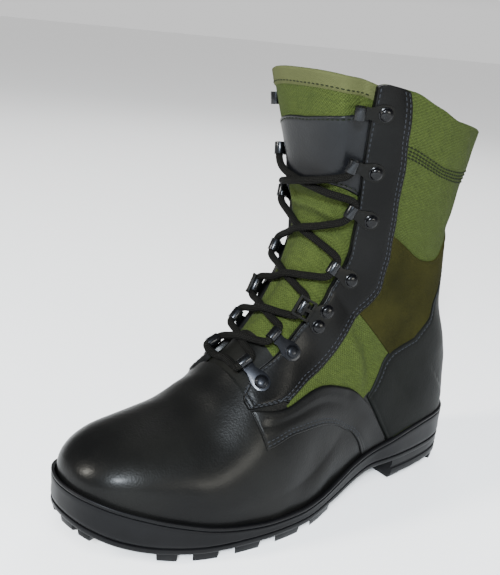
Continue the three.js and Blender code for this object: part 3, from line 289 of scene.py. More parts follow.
def form(u, v):
    """A point of the upper's outer form. u runs from the toe to above the collar, v from the
    sole's edge on the outer side, 0, over the ridge, 0.5, to the edge on the inner side, 1."""
    u, v = np.broadcast_arrays(np.asarray(u, float), np.asarray(v, float))
    get = {name: f(u) for name, f in upper_columns.items()}
    side = np.where(v <= 0.5, 1.0, -1.0)
    w = np.where(v <= 0.5, v * 2, (1 - v) * 2)
    back_x = lerp(EDGE_BACK, EDGE_TIP, get["back"])
    rise = get["rise"] * SHAFT_HEIGHT
    back_z = rim_z(back_x) - RIM_LIP + GAP + rise
    front_x = get["front_x"] * SOLE_LENGTH
    front_z = np.maximum(get["front_z"] * SHAFT_HEIGHT, back_z)
    ridge = get["ridge"] * BALL_WIDTH
    shift = np.where(rise > 0, back_x - EDGE_BACK, 0)
    wide_x = np.maximum(back_x, HEEL_WIDE * SOLE_LENGTH)
    foot_half = side * (edge_y(back_x - shift, side) - ridge)
    half = side * (edge_y(wide_x, side) - ridge) * np.where(side > 0, get["lateral"], get["medial"])
    belly = get["belly"]

    low = w < LOW_PART
    t = np.clip(w / LOW_PART, 0, 1) * math.pi / 2
    power = 2 / get["rear"]
    low_share = belly * (1 - np.maximum(np.cos(t), 0) ** power)
    oval = foot_half + (half - foot_half) * np.sin(t) ** power
    x = lerp(back_x, front_x, low_share)
    above = low_share * (front_z - back_z) + rise
    plan = side * (edge_y(x - shift, side) - ridge)
    keep = 1 - smooth((above - RIM_LIP - WALL_START) / WALL_BLEND)
    keep = keep * (1 - np.clip(w / LOW_PART, 0, 1) ** WALL_POWER)
    low_y = lerp(oval, plan, keep)

    t = np.clip((w - LOW_PART) / (1 - LOW_PART), 0, 1) * math.pi / 2
    power = 2 / get["crown"]
    high_share = belly + (1 - belly) * np.sin(t) ** power
    high_y = half * np.maximum(np.cos(t), 0) ** power

    share = np.where(low, low_share, high_share)
    y = np.where(low, low_y, high_y)
    return np.stack([lerp(back_x, front_x, share), ridge + side * y, lerp(back_z, front_z, share)], -1)


def form_normal(u, v):
    u, v = np.broadcast_arrays(np.asarray(u, float), np.asarray(v, float))
    middle = np.clip(u, FIRST_NORMAL_U, 1)
    closed = middle >= CLOSED_FROM
    low = v - NORMAL_STEP
    high = v + NORMAL_STEP
    low = np.where(low < 0, np.where(closed, low + 1, 0), low)
    high = np.where(high > 1, np.where(closed, high - 1, 1), high)
    along = form(np.clip(middle + NORMAL_STEP, 0, 1), v) - form(np.clip(middle - NORMAL_STEP, 0, 1), v)
    across = form(middle, high) - form(middle, low)
    normal = np.cross(along, across)
    return normal / np.maximum(np.linalg.norm(normal, axis=-1), 1e-9)[..., None]


def collar_u(v):
    w = from_edge(v)
    corner = np.clip((w - CORNER_FROM) / CORNER_WIDTH, 0, 1) ** 2
    rise = smooth((w - COLLAR_RISE_FROM) / COLLAR_RISE_WIDTH)
    return lerp(COLLAR_BACK_U, COLLAR_FRONT_U, rise) - CORNER_DROP * corner


def to_collar(u, v):
    t = np.clip((u - COLLAR_BEND_U) / (1 - COLLAR_BEND_U), 0, 1)
    return np.where(u <= COLLAR_BEND_U, u, lerp(COLLAR_BEND_U, collar_u(v), t))


# The panels' edges. They follow the solids', but for the eyestay's rear edge and small margins.

STAY_ROWS = [
    # u, front v, rear v
    (0.44, 0.4, 0.352),
    (0.47, 0.41, 0.333),
    (0.512, 0.392, 0.317),
    (0.55, 0.378, 0.294),
    (0.59, 0.357, 0.28),
    (0.62, 0.349, 0.267),
    (0.64, 0.343, 0.26),
    (0.7, 0.34, 0.254),
    (0.76, 0.333, 0.24),
    (0.82, 0.328, 0.227),
    (0.87, 0.328, 0.226),
    (0.92, 0.329, 0.24),
    (0.99, 0.325, 0.255),
]
throat_v = column([r[0] for r in STAY_ROWS], [r[1] for r in STAY_ROWS])
stay_rear_v = column([r[0] for r in STAY_ROWS], [r[2] for r in STAY_ROWS])

EDGE_COLUMNS = ("low_u", "low_v", "top_u", "top_v")
QUARTER_ROWS = [
    (0.443, 0.293, 0.434, 0.36),
    (0.455, 0.29, 0.455, 0.342),
    (0.476, 0.285, 0.479, 0.325),
    (0.5, 0.263, 0.507, 0.306),
    (0.522, 0.23, 0.532, 0.28),
    (0.534, 0.2, 0.549, 0.245),
    (0.54, 0.165, 0.56, 0.212),
    (0.541, 0.13, 0.564, 0.18),
    (0.54, 0.09, 0.564, 0.13),
    (0.538, 0, 0.561, 0),
]
WEBBING_ROWS = [
    (0.622, 0.2, 0.618, 0.26),
    (0.66, 0.2, 0.66, 0.251),
    (0.7, 0.196, 0.72, 0.242),
    (0.74, 0.179, 0.787, 0.225),
    (0.775, 0.153, 0.8, 0.19),
    (0.806, 0.122, 0.82, 0.15),
    (0.837, 0.078, 0.85, 0.1),
    (0.866, 0, 0.888, 0),
]
quarter_edges = table_columns(EDGE_COLUMNS, QUARTER_ROWS)
webbing_edges = table_columns(EDGE_COLUMNS, WEBBING_ROWS)
RIM_TRIES = np.linspace(0, 0.4, 161)


def rim_v(u):
    """The lowest v at which a panel clears the sole's rim, at each u."""
    points = form(np.asarray(u)[..., None], RIM_TRIES)
    above = points[..., 2] - rim_z(points[..., 0]) - GAP
    return RIM_TRIES[np.argmax(above > 0, axis=-1)]


# Soft relief of leather and cloth: each fold is a line of (u, v) points with a width and a
# depth in millimetres. A negative depth is a trough.

FOLDS = [
    # points, width, depth
    ([(0.44, 0.5), (0.425, 0.58), (0.42, 0.66)], 6, -0.8),
    ([(0.415, 0.42), (0.41, 0.5), (0.405, 0.6)], 7, 0.5),
    ([(0.385, 0.36), (0.38, 0.46), (0.382, 0.58)], 8, -0.6),
    ([(0.34, 0.3), (0.345, 0.42), (0.35, 0.55)], 11, -0.35),
    ([(0.5, 0.22), (0.47, 0.16), (0.46, 0.08)], 9, -0.7),
    ([(0.53, 0.16), (0.505, 0.1), (0.5, 0.04)], 8, -0.5),
    ([(0.43, 0.24), (0.415, 0.16), (0.42, 0.08)], 12, -0.5),
    ([(0.6, 0.26), (0.6, 0.23), (0.585, 0.205)], 4, -2.2),
    ([(0.585, 0.265), (0.58, 0.24), (0.57, 0.215)], 4, 1.5),
    ([(0.565, 0.25), (0.562, 0.235), (0.556, 0.225)], 4, -0.9),
    ([(0.76, 0.2), (0.78, 0.14), (0.8, 0.06)], 10, -1.2),
    ([(0.83, 0.2), (0.825, 0.12), (0.84, 0.05)], 9, 1.0),
    ([(0.85, 0.17), (0.862, 0.1), (0.872, 0.03)], 7, -1.1),
    ([(0.92, 0.24), (0.91, 0.17), (0.915, 0.09)], 8, 1.0),
    ([(0.935, 0.12), (0.915, 0.1), (0.9, 0.11)], 6, -0.8),
    ([(0.74, 0.1), (0.72, 0.06), (0.71, 0.0)], 11, -0.8),
    ([(0.66, 0.17), (0.67, 0.1), (0.665, 0.03)], 12, -0.5),
    ([(0.6, 0.17), (0.62, 0.1), (0.63, 0.03)], 12, 0.5),
    ([(0.64, 0.33), (0.64, 0.28)], 9, -0.4),
    ([(0.57, 0.36), (0.6, 0.3)], 8, -0.35),
]
INNER_FOLD_SHIFT = 0.012


def fold_depth(points, spine, width, depth):
    """How far one fold, a line of points on the form, moves each of the points, in millimetres."""
    near = np.full(points.shape[:-1], np.inf)
    for a, b in zip(spine[:-1], spine[1:]):
        along = b - a
        t = np.clip(((points - a) @ along) / max(along @ along, 1e-9), 0, 1)
        near = np.minimum(near, np.linalg.norm(points - a - t[..., None] * along, axis=-1))
    return depth * np.exp(-((near / width) ** 2))


def relief(points):
    """How far the folds on both sides move points of the form. Those across the ridge count once."""
    total = np.zeros(points.shape[:-1])
    for side in (1, -1):
        shift = 0 if side > 0 else INNER_FOLD_SHIFT
        for line, width, depth in FOLDS:
            if side > 0 or max(v for _, v in line) <= 0.5:
                spine = [form(u + shift, on_side(v, side)) for u, v in line]
                total += fold_depth(points, spine, width, depth)
    return total


def surface(u, v):
    """The form's points, its normals and the folds' relief there."""
    points = form(u, v)
    return points, form_normal(u, v), relief(points)


def skin(u, v, distance):
    """A point at a distance outside the upper's creased surface."""
    points, normal, bump = surface(u, v)
    return points + normal * np.asarray(distance + bump)[..., None]


# Meshes

def to_frame(points):
    """Millimetres of the sole's own frame to metres of the part's frame."""
    points = np.asarray(points, float)
    return (points - np.array([HEEL_REST_BACK, 0, 0])) * MM


def link_mesh(name, mesh):
    mesh.polygons.foreach_set("use_smooth", np.ones(len(mesh.polygons), bool))
    mesh.update()
    obj = bpy.data.objects.new(name + "_skin", mesh)
    bpy.context.scene.collection.objects.link(obj)
    return obj


def make_object(name, points, faces, uv=None, uv_index=None, face_slots=None):
    """An object from points and faces. uv_index names a UV for each corner of the faces, and
    without it each corner takes the UV of its point."""
    mesh = bpy.data.meshes.new(name)
    mesh.from_pydata(to_frame(points).tolist(), [], [list(map(int, f)) for f in faces])
    if uv is not None:
        layer = mesh.uv_layers.new(name="UVMap")
        loops = np.empty(len(mesh.loops), int)
        mesh.loops.foreach_get("vertex_index", loops)
        source = loops if uv_index is None else np.asarray(uv_index)
        layer.data.foreach_set("uv", np.asarray(uv)[source].astype(np.float32).ravel())
    if face_slots is not None:
        mesh.polygons.foreach_set("material_index", np.asarray(face_slots, int))
    return link_mesh(name, mesh)


def face_out(obj):
    edit = bmesh.new()
    edit.from_mesh(obj.data)
    bmesh.ops.recalc_face_normals(edit, faces=edit.faces)
    edit.to_mesh(obj.data)
    edit.free()
    return obj


def edited_object(name, edit, place=lambda p: p):
    """An object from a mesh being edited. place puts a point of it in the sole's own frame."""
    for p in edit.verts:
        p.co = Vector(to_frame(place(np.array(p.co))))
    mesh = bpy.data.meshes.new(name)
    edit.to_mesh(mesh)
    edit.free()
    return face_out(link_mesh(name, mesh))


def bevel_sharp(edit, over, offset, clamp=False):
    """Bevels the edges that turn by over more than so many degrees."""
    bmesh.ops.recalc_face_normals(edit, faces=edit.faces)
    sharp = [e for e in edit.edges if len(e.link_faces) == 2 and e.calc_face_angle(0) > math.radians(over)]
    options = {"segments": 2, "affect": "EDGES", "profile": 0.6, "clamp_overlap": clamp}
    bmesh.ops.bevel(edit, geom=sharp, offset=offset, **options)


def finish_piece(obj, materials, nodes=(), sharp=None):
    for material in materials:
        obj.data.materials.append(material)
    if sharp is not None:
        obj.data.set_sharp_from_angle(angle=math.radians(sharp))
    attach(obj, "root")
    if nodes:
        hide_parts(*nodes)
    return obj


def circle(sides):
    """The cosine and sine of each of a circle's even turns."""
    turns = [2 * math.pi * s / sides for s in range(sides)]
    return [(math.cos(turn), math.sin(turn)) for turn in turns]


def bridge(edit, a, b):
    """Faces between two rings of as many points."""
    for s in range(len(a)):
        t = (s + 1) % len(a)
        edit.faces.new([a[s], a[t], b[t], b[s]])


def extrude(edit, outline_points, low, high):
    bottom = [edit.verts.new((x, y, low)) for x, y in outline_points]
    top = [edit.verts.new((x, y, high)) for x, y in outline_points]
    edit.faces.new(list(reversed(bottom)))
    edit.faces.new(top)
    bridge(edit, bottom, top)


def grid_faces(rows, columns, close=False):
    wide = columns if close else columns - 1
    i, j = np.meshgrid(np.arange(rows - 1), np.arange(wide), indexing="ij")
    k = (j + 1) % columns
    quads = np.stack([i * columns + j, (i + 1) * columns + j, (i + 1) * columns + k, i * columns + k], -1)
    return quads.reshape(-1, 4).tolist()


def closed_sheet(name, outer, inner, uv):
    """A closed solid from an outer grid of points, an inner one and the walls between them."""
    rows, columns = outer.shape[:2]
    count = rows * columns
    points = np.concatenate([outer.reshape(-1, 3), inner.reshape(-1, 3)])
    top = grid_faces(rows, columns)
    under = [[a + count, d + count, c + count, b + count] for a, b, c, d in top]
    index = np.arange(count).reshape(rows, columns)
    ring = np.concatenate([index[0, :-1], index[:-1, -1], index[-1, :0:-1], index[:0:-1, 0]])
    walls = [[a, b, b + count, a + count] for a, b in zip(ring, np.roll(ring, -1))]
    all_uv = np.concatenate([uv.reshape(-1, 2)] * 2)
    return face_out(make_object(name, points, top + under + walls, all_uv))


def arc_uv(points, row=0, columns=None):
    """Distances along the two ways of a grid of points, in millimetres, from a row of it and
    from the nearest of the given columns."""
    down = np.zeros(points.shape[:2])
    across = np.zeros(points.shape[:2])
    down[1:] = np.cumsum(np.linalg.norm(np.diff(points, axis=0), axis=-1), axis=0)
    across[:, 1:] = np.cumsum(np.linalg.norm(np.diff(points, axis=1), axis=-1), axis=1)
    down -= down[row : row + 1]
    columns = np.array(columns or [points.shape[1] // 2])
    nearest = columns[np.argmin(np.abs(np.arange(points.shape[1])[:, None] - columns), axis=1)]
    return np.stack([across - across[:, nearest], down], -1)


# Distances from a sheet's edge in millimetres, close enough together to round it
EDGE_STEPS = (0, 0.12, 0.35, 0.7, 1.1, 1.5, 1.9, 2.3, 2.8, 3.4, 4.2, 5.2, 6.4)
EDGE_SHARE = 0.45


def spread(length, spacing):
    """Shares of a length, close together near its ends and spacing apart between."""
    near = [e for e in EDGE_STEPS if e < length * EDGE_SHARE]
    inner = max(int((length - 2 * near[-1]) / spacing), 1)
    middle = np.linspace(near[-1], length - near[-1], inner + 1)[1:-1]
    places = np.concatenate([near, middle, [length - e for e in reversed(near)]])
    return places / length


def round_edge(distance, radius):
    k = np.clip(1 - distance / radius, 0, 1)
    return np.sqrt(np.maximum(1 - k**2, 0))


# Stitches

def lengths_along(path):
    return np.concatenate([[0], np.cumsum(np.linalg.norm(np.diff(path, axis=0), axis=1))])


def read_along(values, at, places):
    """Points or ways given at some lengths, read at other lengths between them."""
    return np.stack([np.interp(places, at, values[:, k]) for k in range(3)], -1)


class Seams:
    """Collects stitches along lines and makes them one mesh."""

    LENGTH = 2.3
    PITCH = 3.1
    RADIUS = 0.36
    SIDES = 6
    REACH = 0.5
    # place along the stitch, share of its radius
    RINGS = ((-0.5, 0.35), (-0.34, 0.85), (0, 1.0), (0.34, 0.85), (0.5, 0.35))

    def __init__(self):
        self.points = []
        self.faces = []

    def line(self, path, normals, length=LENGTH, radius=RADIUS, sink=0.12):
        at = lengths_along(path)
        count = int(at[-1] / self.PITCH)
        for n in range(count):
            middle = (n + 0.5) * at[-1] / count
            here = read_along(path, at, middle)
            up = read_along(normals, at, middle)
            along = read_along(path, at, middle + self.REACH) - read_along(path, at, middle - self.REACH)
            along /= max(np.linalg.norm(along), 1e-9)
            aside = np.cross(up, along)
            aside /= max(np.linalg.norm(aside), 1e-9)
            up = np.cross(along, aside)
            start = len(self.points)
            for place, wide in self.RINGS:
                low = radius * (1.2 - wide)
                centre = here + along * place * length + up * (radius * 0.75 - low - sink)
                for cosine, sine in circle(self.SIDES):
                    self.points.append(centre + radius * wide * (aside * cosine + up * sine))
            body = np.array(grid_faces(len(self.RINGS), self.SIDES, close=True)) + start
            self.faces += body.tolist()
            self.faces.append(list(range(start, start + self.SIDES)))
            self.faces.append(list(reversed(range(len(self.points) - self.SIDES, len(self.points)))))

    def build(self, name, material, slot):
        obj = face_out(make_object(name, np.array(self.points), self.faces))
        return finish_piece(obj, (material,))


# The upper: one closed wall, leather below and at the throat's edge, canvas above

SIDE_COLUMNS = 76
THROAT_COLUMNS = 28
FOOT_ROWS = 92
SHAFT_ROWS = 118
COLLAR_ROUND = 1.2
THROAT_LEATHER = 0.012
INNER_RELIEF = 0.6
# The row and the column, as shares, from which the canvas's weave is laid out
WEAVE_U = 0.8
WEAVE_COLUMN = 0.7


def upper_rows():
    foot = np.linspace(0, THROAT_START, FOOT_ROWS)
    shaft = np.linspace(THROAT_START, 1, SHAFT_ROWS)[1:]
    return np.concatenate([foot, shaft])


def upper_v(u, j):
    edge = throat_v(u)
    if j <= SIDE_COLUMNS:
        return edge * j / SIDE_COLUMNS
    if j >= SIDE_COLUMNS + THROAT_COLUMNS:
        return 1 - edge * (2 * SIDE_COLUMNS + THROAT_COLUMNS - j) / SIDE_COLUMNS
    return lerp(edge, 1 - edge, (j - SIDE_COLUMNS) / THROAT_COLUMNS)


# Where the leather ends in front of the quarter, as (v, u)
LEATHER_FRONT = ((0.318, 0.484), (0.328, 0.492), (0.338, 0.505))
LEATHER_BACK_U = 0.575


def leather_below(v):
    """The u below which the upper is leather, at each v. The quarter hides the change."""
    w = from_edge(v)
    rows = QUARTER_ROWS[:2:-1]
    places = [r[3] for r in rows] + [p[0] for p in LEATHER_FRONT]
    middles = [lerp(r[0], r[2], 0.7) for r in rows] + [p[1] for p in LEATHER_FRONT]
    return np.where(w < 0.2, LEATHER_BACK_U, np.interp(w, places, middles))


def make_upper(leather, canvas, lining):
    rows = upper_rows()
    columns = 2 * SIDE_COLUMNS + THROAT_COLUMNS + 1
    v = np.stack([upper_v(rows, j) for j in range(columns)], 1)
    u = to_collar(np.repeat(rows[:, None], columns, 1), v)
    base, normal, bump = surface(u, v)
    below_edge = np.linalg.norm(base - base[-1:], axis=-1)
    turn = (1 - round_edge(below_edge, COLLAR_ROUND)) * UPPER_WALL / 2
    outer = base + normal * (bump - turn)[..., None]
    inner = base + normal * (bump * INNER_RELIEF - UPPER_WALL + turn)[..., None]

    count = len(rows) * columns
    index = np.arange(count).reshape(len(rows), columns)
    raw = index.copy()
    closed = rows >= CLOSED_FROM
    index[closed, -1] = index[closed, 0]
    faces = []
    corners = []
    slots = []
    centre_v = (v[:-1, :-1] + v[1:, 1:]) / 2
    centre_u = (u[:-1, :-1] + u[1:, 1:]) / 2
    is_leather = centre_u < leather_below(centre_v)
    at_throat = from_edge(centre_v) > throat_v(centre_u) - THROAT_LEATHER
    is_leather |= (centre_u > THROAT_START) & at_throat
    edges = {}
    for i in range(len(rows) - 1):
        for j in range(columns - 1):
            if rows[i] >= THROAT_START - 1e-9 and SIDE_COLUMNS <= j < SIDE_COLUMNS + THROAT_COLUMNS:
                continue
            quad = [index[i, j], index[i + 1, j], index[i + 1, j + 1], index[i, j + 1]]
            faces.append(quad)
            corners.append([raw[i, j], raw[i + 1, j], raw[i + 1, j + 1], raw[i, j + 1]])
            slots.append(0 if is_leather[i, j] else 1)
            for a, b in zip(quad, quad[1:] + quad[:1]):
                edges[(a, b)] = slots[-1]
    under = [[a + count, d + count, c + count, b + count] for a, b, c, d in faces]
    walls = []
    wall_slots = []
    for (a, b), s in edges.items():
        if (b, a) not in edges:
            walls.append([b, a, a + count, b + count])
            wall_slots.append(s)
    across = SIDE_COLUMNS * WEAVE_COLUMN
    sides = [int(across), int(2 * SIDE_COLUMNS - across) + THROAT_COLUMNS]
    uv = arc_uv(base, row=int(np.argmin(np.abs(rows - WEAVE_U))), columns=sides)
    under_corners = [[a, d, c, b] for a, b, c, d in corners]
    wall_corners = [[n % count for n in wall] for wall in walls]
    obj = make_object(
        "upper",
        np.concatenate([outer.reshape(-1, 3), inner.reshape(-1, 3)]),
        faces + under + walls,
        uv.reshape(-1, 2),
        uv_index=np.concatenate([np.ravel(c) for c in (corners, under_corners, wall_corners)]).astype(int),
        face_slots=slots + [2] * len(under) + wall_slots,
    )
    loose = bmesh.new()
    loose.from_mesh(obj.data)
    bmesh.ops.delete(loose, geom=[p for p in loose.verts if not p.link_faces], context="VERTS")
    bmesh.ops.recalc_face_normals(loose, faces=loose.faces)
    loose.to_mesh(obj.data)
    loose.free()
    return finish_piece(obj, (leather, canvas, lining), ("upper",), sharp=50)


# Panels on the upper

SEAM_DEPTH = 0.3
SEAM_WIDTH = 0.9
PANEL_SINK = 0.25
SIDES = ((1, "outer"), (-1, "inner"))


class Panel:
    """A piece laid on the upper. place(a, b) gives its (u, v) on the outer side, with a along it
    and b across it from 0 to 1. seams are grooves, each an edge and a distance from it."""

    def __init__(self, name, side, place, thickness, seams, spacing, radius, swell=None):
        self.name = name
        self.side = side
        self.place = place
        self.thickness = thickness
        self.seams = seams
        self.spacing = spacing
        self.radius = radius
        self.swell = swell
        fine = np.linspace(0, 1, 120)
        low = form(*self.uv_at(fine, np.zeros(120)))
        high = form(*self.uv_at(fine, np.ones(120)))
        self.length = np.linalg.norm(np.diff((low + high) / 2, axis=0), axis=1).sum()
        widths = np.linalg.norm(high - low, axis=1)
        self.width = lambda a: np.interp(a, fine, widths)
        self.full_width = widths.max()

    def uv_at(self, a, b):
        u, v = self.place(a, b)
        return u, np.mod(on_side(v, self.side), 1)

    def height(self, a, b):
        across = self.width(a)
        distances = {
            "low": b * across,
            "high": (1 - b) * across,
            "start": a * self.length,
            "end": (1 - a) * self.length,
        }
        nearest = np.minimum.reduce(np.broadcast_arrays(*distances.values()))
        high = self.thickness * round_edge(nearest, self.radius)
        for edge, inset in self.seams:
            high = high - SEAM_DEPTH * np.exp(-(((distances[edge] - inset) / SEAM_WIDTH) ** 2))
        if self.swell:
            high = high + self.swell(a, b, across, nearest)
        return high

    def build(self, material, slot):
        a = spread(self.length, self.spacing)
        b = spread(self.full_width, self.spacing)
        a, b = np.meshgrid(a, b, indexing="ij")
        points, normal, bump = surface(*self.uv_at(a, b))
        outer = points + normal * (bump + self.height(a, b))[..., None]
        inner = points + normal * (bump - PANEL_SINK)[..., None]
        obj = closed_sheet(self.name, outer, inner, arc_uv(points))
        return finish_piece(obj, (material,), (self.name,), sharp=60)

    def stitch(self, stitches, seams, start, stop, step=0.6):
        for edge, inset in seams:
            if edge in ("low", "high"):
                a = np.linspace(start, stop, int(self.length * (stop - start) / step) + 2)
                share = inset / self.width(a)
                b = share if edge == "low" else 1 - share
            else:
                wide = float(self.width(0.0 if edge == "start" else 1.0))
                b = np.linspace(start, stop, int(wide / step) + 2)
                share = inset / self.length
                a = np.full(len(b), share if edge == "start" else 1 - share)
            points, normal, bump = surface(*self.uv_at(a, b))
            lift = bump + self.height(a, b)
            stitches.line(points + normal * lift[..., None], normal)


def between(low, high):
    """A panel's place between two edges, each a function of a that gives (u, v)."""
    def place(a, b):
        low_u, low_v = low(a)
        high_u, high_v = high(a)
        return lerp(low_u, high_u, b), lerp(low_v, high_v, b)

    return place


STAY_THICK = 1.8
STAY_SEAMS = (("low", 2.2), ("high", 1.9), ("high", 4.3), ("start", 2.0), ("start", 4.4))
STAY_START = 0.44
STAY_CORNER = 0.55
STAY_SLANT = 0.05
STAY_TOP_ROUND = 0.016
STAY_NOSE = 0.006
QUARTER_THICK = 1.15
QUARTER_SEAMS = (("low", 2.0), ("low", 4.3), ("start", 2.0))
QUARTER_LAP = 0.008
QUARTER_TOP_LAP = 0.002
QUARTER_RIDGE = 0.62
QUARTER_RIDGE_STEP = 0.7
QUARTER_BAND = 0.5
COUNTER_THICK = 1.7
COUNTER_SEAMS = (("high", 2.0), ("start", 2.0), ("end", 2.0))
WEBBING_THICK = 1.0
WEBBING_SEAMS = (("high", 1.8), ("high", 3.6))
WEBBING_LAP = 0.014
WEBBING_TOP_LAP = 0.006


def stay_place(a, b):
    rise = STAY_SLANT * smooth((b - STAY_CORNER) / (1 - STAY_CORNER)) * (1 - smooth(a / 0.2))
    corner = np.clip((0.42 - b) / 0.42, 0, 1) ** 2 + 0.3 * np.clip((b - 0.75) / 0.25, 0, 1) ** 2
    fall = STAY_TOP_ROUND * corner * smooth((a - 0.88) / 0.12)
    nose = STAY_NOSE * np.clip((0.25 - b) / 0.25, 0, 1) ** 2 * (1 - smooth(a / 0.06))
    u = lerp(STAY_START, COLLAR_FRONT_U, a) + rise - fall + nose
    return u, lerp(throat_v(u) - 0.001, stay_rear_v(u), b)


def quarter_low(a):
    u = quarter_edges["low_u"](a)
    return u, np.maximum(quarter_edges["low_v"](a), rim_v(u))


def quarter_high(a):
    under = 1 - smooth(a / 0.3)
    u = quarter_edges["top_u"](a)
    v = np.maximum(quarter_edges["top_v"](a) + QUARTER_LAP * under, rim_v(u))
    return u + lerp(QUARTER_TOP_LAP, QUARTER_LAP, under), v


def quarter_swell(a, b, across, distance):
    """The upper part of the quarter lies over its lower part, with a stitched edge between."""
    step = QUARTER_RIDGE_STEP * smooth((b - QUARTER_RIDGE) * across / 1.4)
    fade = smooth(a / 0.1) * (1 - smooth((a - 0.62) / 0.2))
    band = QUARTER_BAND * np.exp(-(((b - 0.38) / 0.2) ** 2)) * (1 - smooth((a - 0.6) / 0.3))
    return (step * fade + band) * round_edge(distance, 2.5)

# The counter's top edge on one side, from its front to the back of the heel
COUNTER_EDGE = [
    # u, v
    (0.568, 0.195),
    (0.6, 0.197),
    (0.64, 0.196),
    (0.69, 0.192),
    (0.75, 0.165),
    (0.8, 0.12),
    (0.84, 0.062),
    (0.86, 0),
]
COUNTER_FRONT_U = 0.566
counter_edge = table_columns(("u", "v"), COUNTER_EDGE)


def both_sides(a):
    """From one side round the back of the heel to the other: a share of one side, and its sign."""
    return 1 - np.abs(2 * a - 1), np.where(a <= 0.5, 1, -1)


def heel_back_u():
    """Where the sole's rim meets the back of the upper."""
    tries = np.linspace(CLOSED_FROM, 0.75, 200)
    return tries[np.argmax(rim_v(tries) <= 0)]


COUNTER_BACK_U = heel_back_u()


def counter_low(a):
    t, sign = both_sides(a)
    u = lerp(COUNTER_FRONT_U, COUNTER_BACK_U, t)
    return u, rim_v(u) * sign


def counter_high(a):
    t, sign = both_sides(a)
    return counter_edge["u"](t), counter_edge["v"](t) * sign


def webbing_low(a):
    t, sign = both_sides(a)
    behind = smooth(t / 0.25)
    u = webbing_edges["low_u"](t) - WEBBING_LAP * behind
    return u, (webbing_edges["low_v"](t) - WEBBING_LAP) * sign


def webbing_high(a):
    t, sign = both_sides(a)
    front = 1 - smooth((t - 0.45) / 0.15)
    u = webbing_edges["top_u"](t) - WEBBING_TOP_LAP * front * t
    return u, (webbing_edges["top_v"](t) + WEBBING_LAP * front) * sign


# The tongue

TONGUE_CLEAR = 0.7
TONGUE_TOP = 0.978
TONGUE_START = 0.41
TONGUE_FREE = 0.02
TONGUE_SWELL = 0.055
BINDING_U = 0.935
BINDING_THICK = 0.9
PATCH_LOW_U = 0.752
PATCH_TOP_U = 0.882
PATCH_SLOPE = 0.06
PATCH_TILT = 0.018
PATCH_EDGE = -0.016
PATCH_THICK = 1.3
TONGUE_PUFF = [
    # u, distance from the form in millimetres
    (0.4, -UPPER_WALL - TONGUE_CLEAR),
    (0.465, -UPPER_WALL - TONGUE_CLEAR),
    (0.51, -4.5),
    (0.56, -7.5),
    (0.63, -7.5),
    (0.7, -4.5),
    (0.76, -1.2),
    (0.8, -0.6),
    (0.87, 1.5),
    (0.98, 5),
]
tongue_puff = column([r[0] for r in TONGUE_PUFF], [r[1] for r in TONGUE_PUFF])

# Folds of the tongue between the laces
TONGUE_FOLDS = [
    # points, width, depth
    ([(0.735, 0.39), (0.72, 0.46), (0.725, 0.55)], 3.4, -2.6),
    ([(0.712, 0.4), (0.7, 0.47), (0.705, 0.56)], 3.4, 2.0),
    ([(0.685, 0.4), (0.68, 0.48), (0.69, 0.56)], 4, -1.4),
    ([(0.662, 0.43), (0.66, 0.5), (0.665, 0.58)], 5, 1.3),
    ([(0.64, 0.42), (0.645, 0.48), (0.64, 0.55)], 4, -1.2),
    ([(0.605, 0.41), (0.6, 0.5), (0.605, 0.57)], 5, 0.9),
    ([(0.575, 0.42), (0.58, 0.5), (0.575, 0.56)], 5, -1.1),
    ([(0.545, 0.44), (0.54, 0.5), (0.545, 0.55)], 4, 0.8),
    ([(0.525, 0.44), (0.525, 0.5), (0.52, 0.56)], 4, -0.8),
    ([(0.77, 0.42), (0.762, 0.5), (0.765, 0.58)], 6, 0.7),
]


def tongue_offset(u, v):
    out = smooth((from_edge(v) - throat_v(u) - TONGUE_FREE) / TONGUE_SWELL)
    return lerp(-UPPER_WALL - TONGUE_CLEAR, tongue_puff(u), out), out


TONGUE_ARCH = 0.009
TONGUE_ARCH_HALF = 0.17
TONGUE_TILT = 0.007


def tongue_skin(u, v, above=0.0):
    offset, out = tongue_offset(u, v)
    bend = 1 - 2 * ((v - 0.5) / TONGUE_ARCH_HALF) ** 2
    tilt = TONGUE_TILT * (0.5 - v) / TONGUE_ARCH_HALF * smooth((u - 0.7) / 0.06)
    u = u + TONGUE_ARCH * bend * smooth((u - COLLAR_BEND_U) / (TONGUE_TOP - COLLAR_BEND_U)) + tilt
    points = form(u, v)
    fold = np.zeros(points.shape[:-1])
    for line, width, depth in TONGUE_FOLDS:
        fold += fold_depth(points, [form(*p) for p in line], width, depth)
    normal = form_normal(u, v)
    return points + normal * (offset + fold * out + above)[..., None], normal


TONGUE_LEATHER_U = 0.503
BINDING_SEAM_U = BINDING_U + 0.006
FLAP_COLUMNS = 9
FLAP_SHARE = 1 / 8
SEAM_POINTS = 120


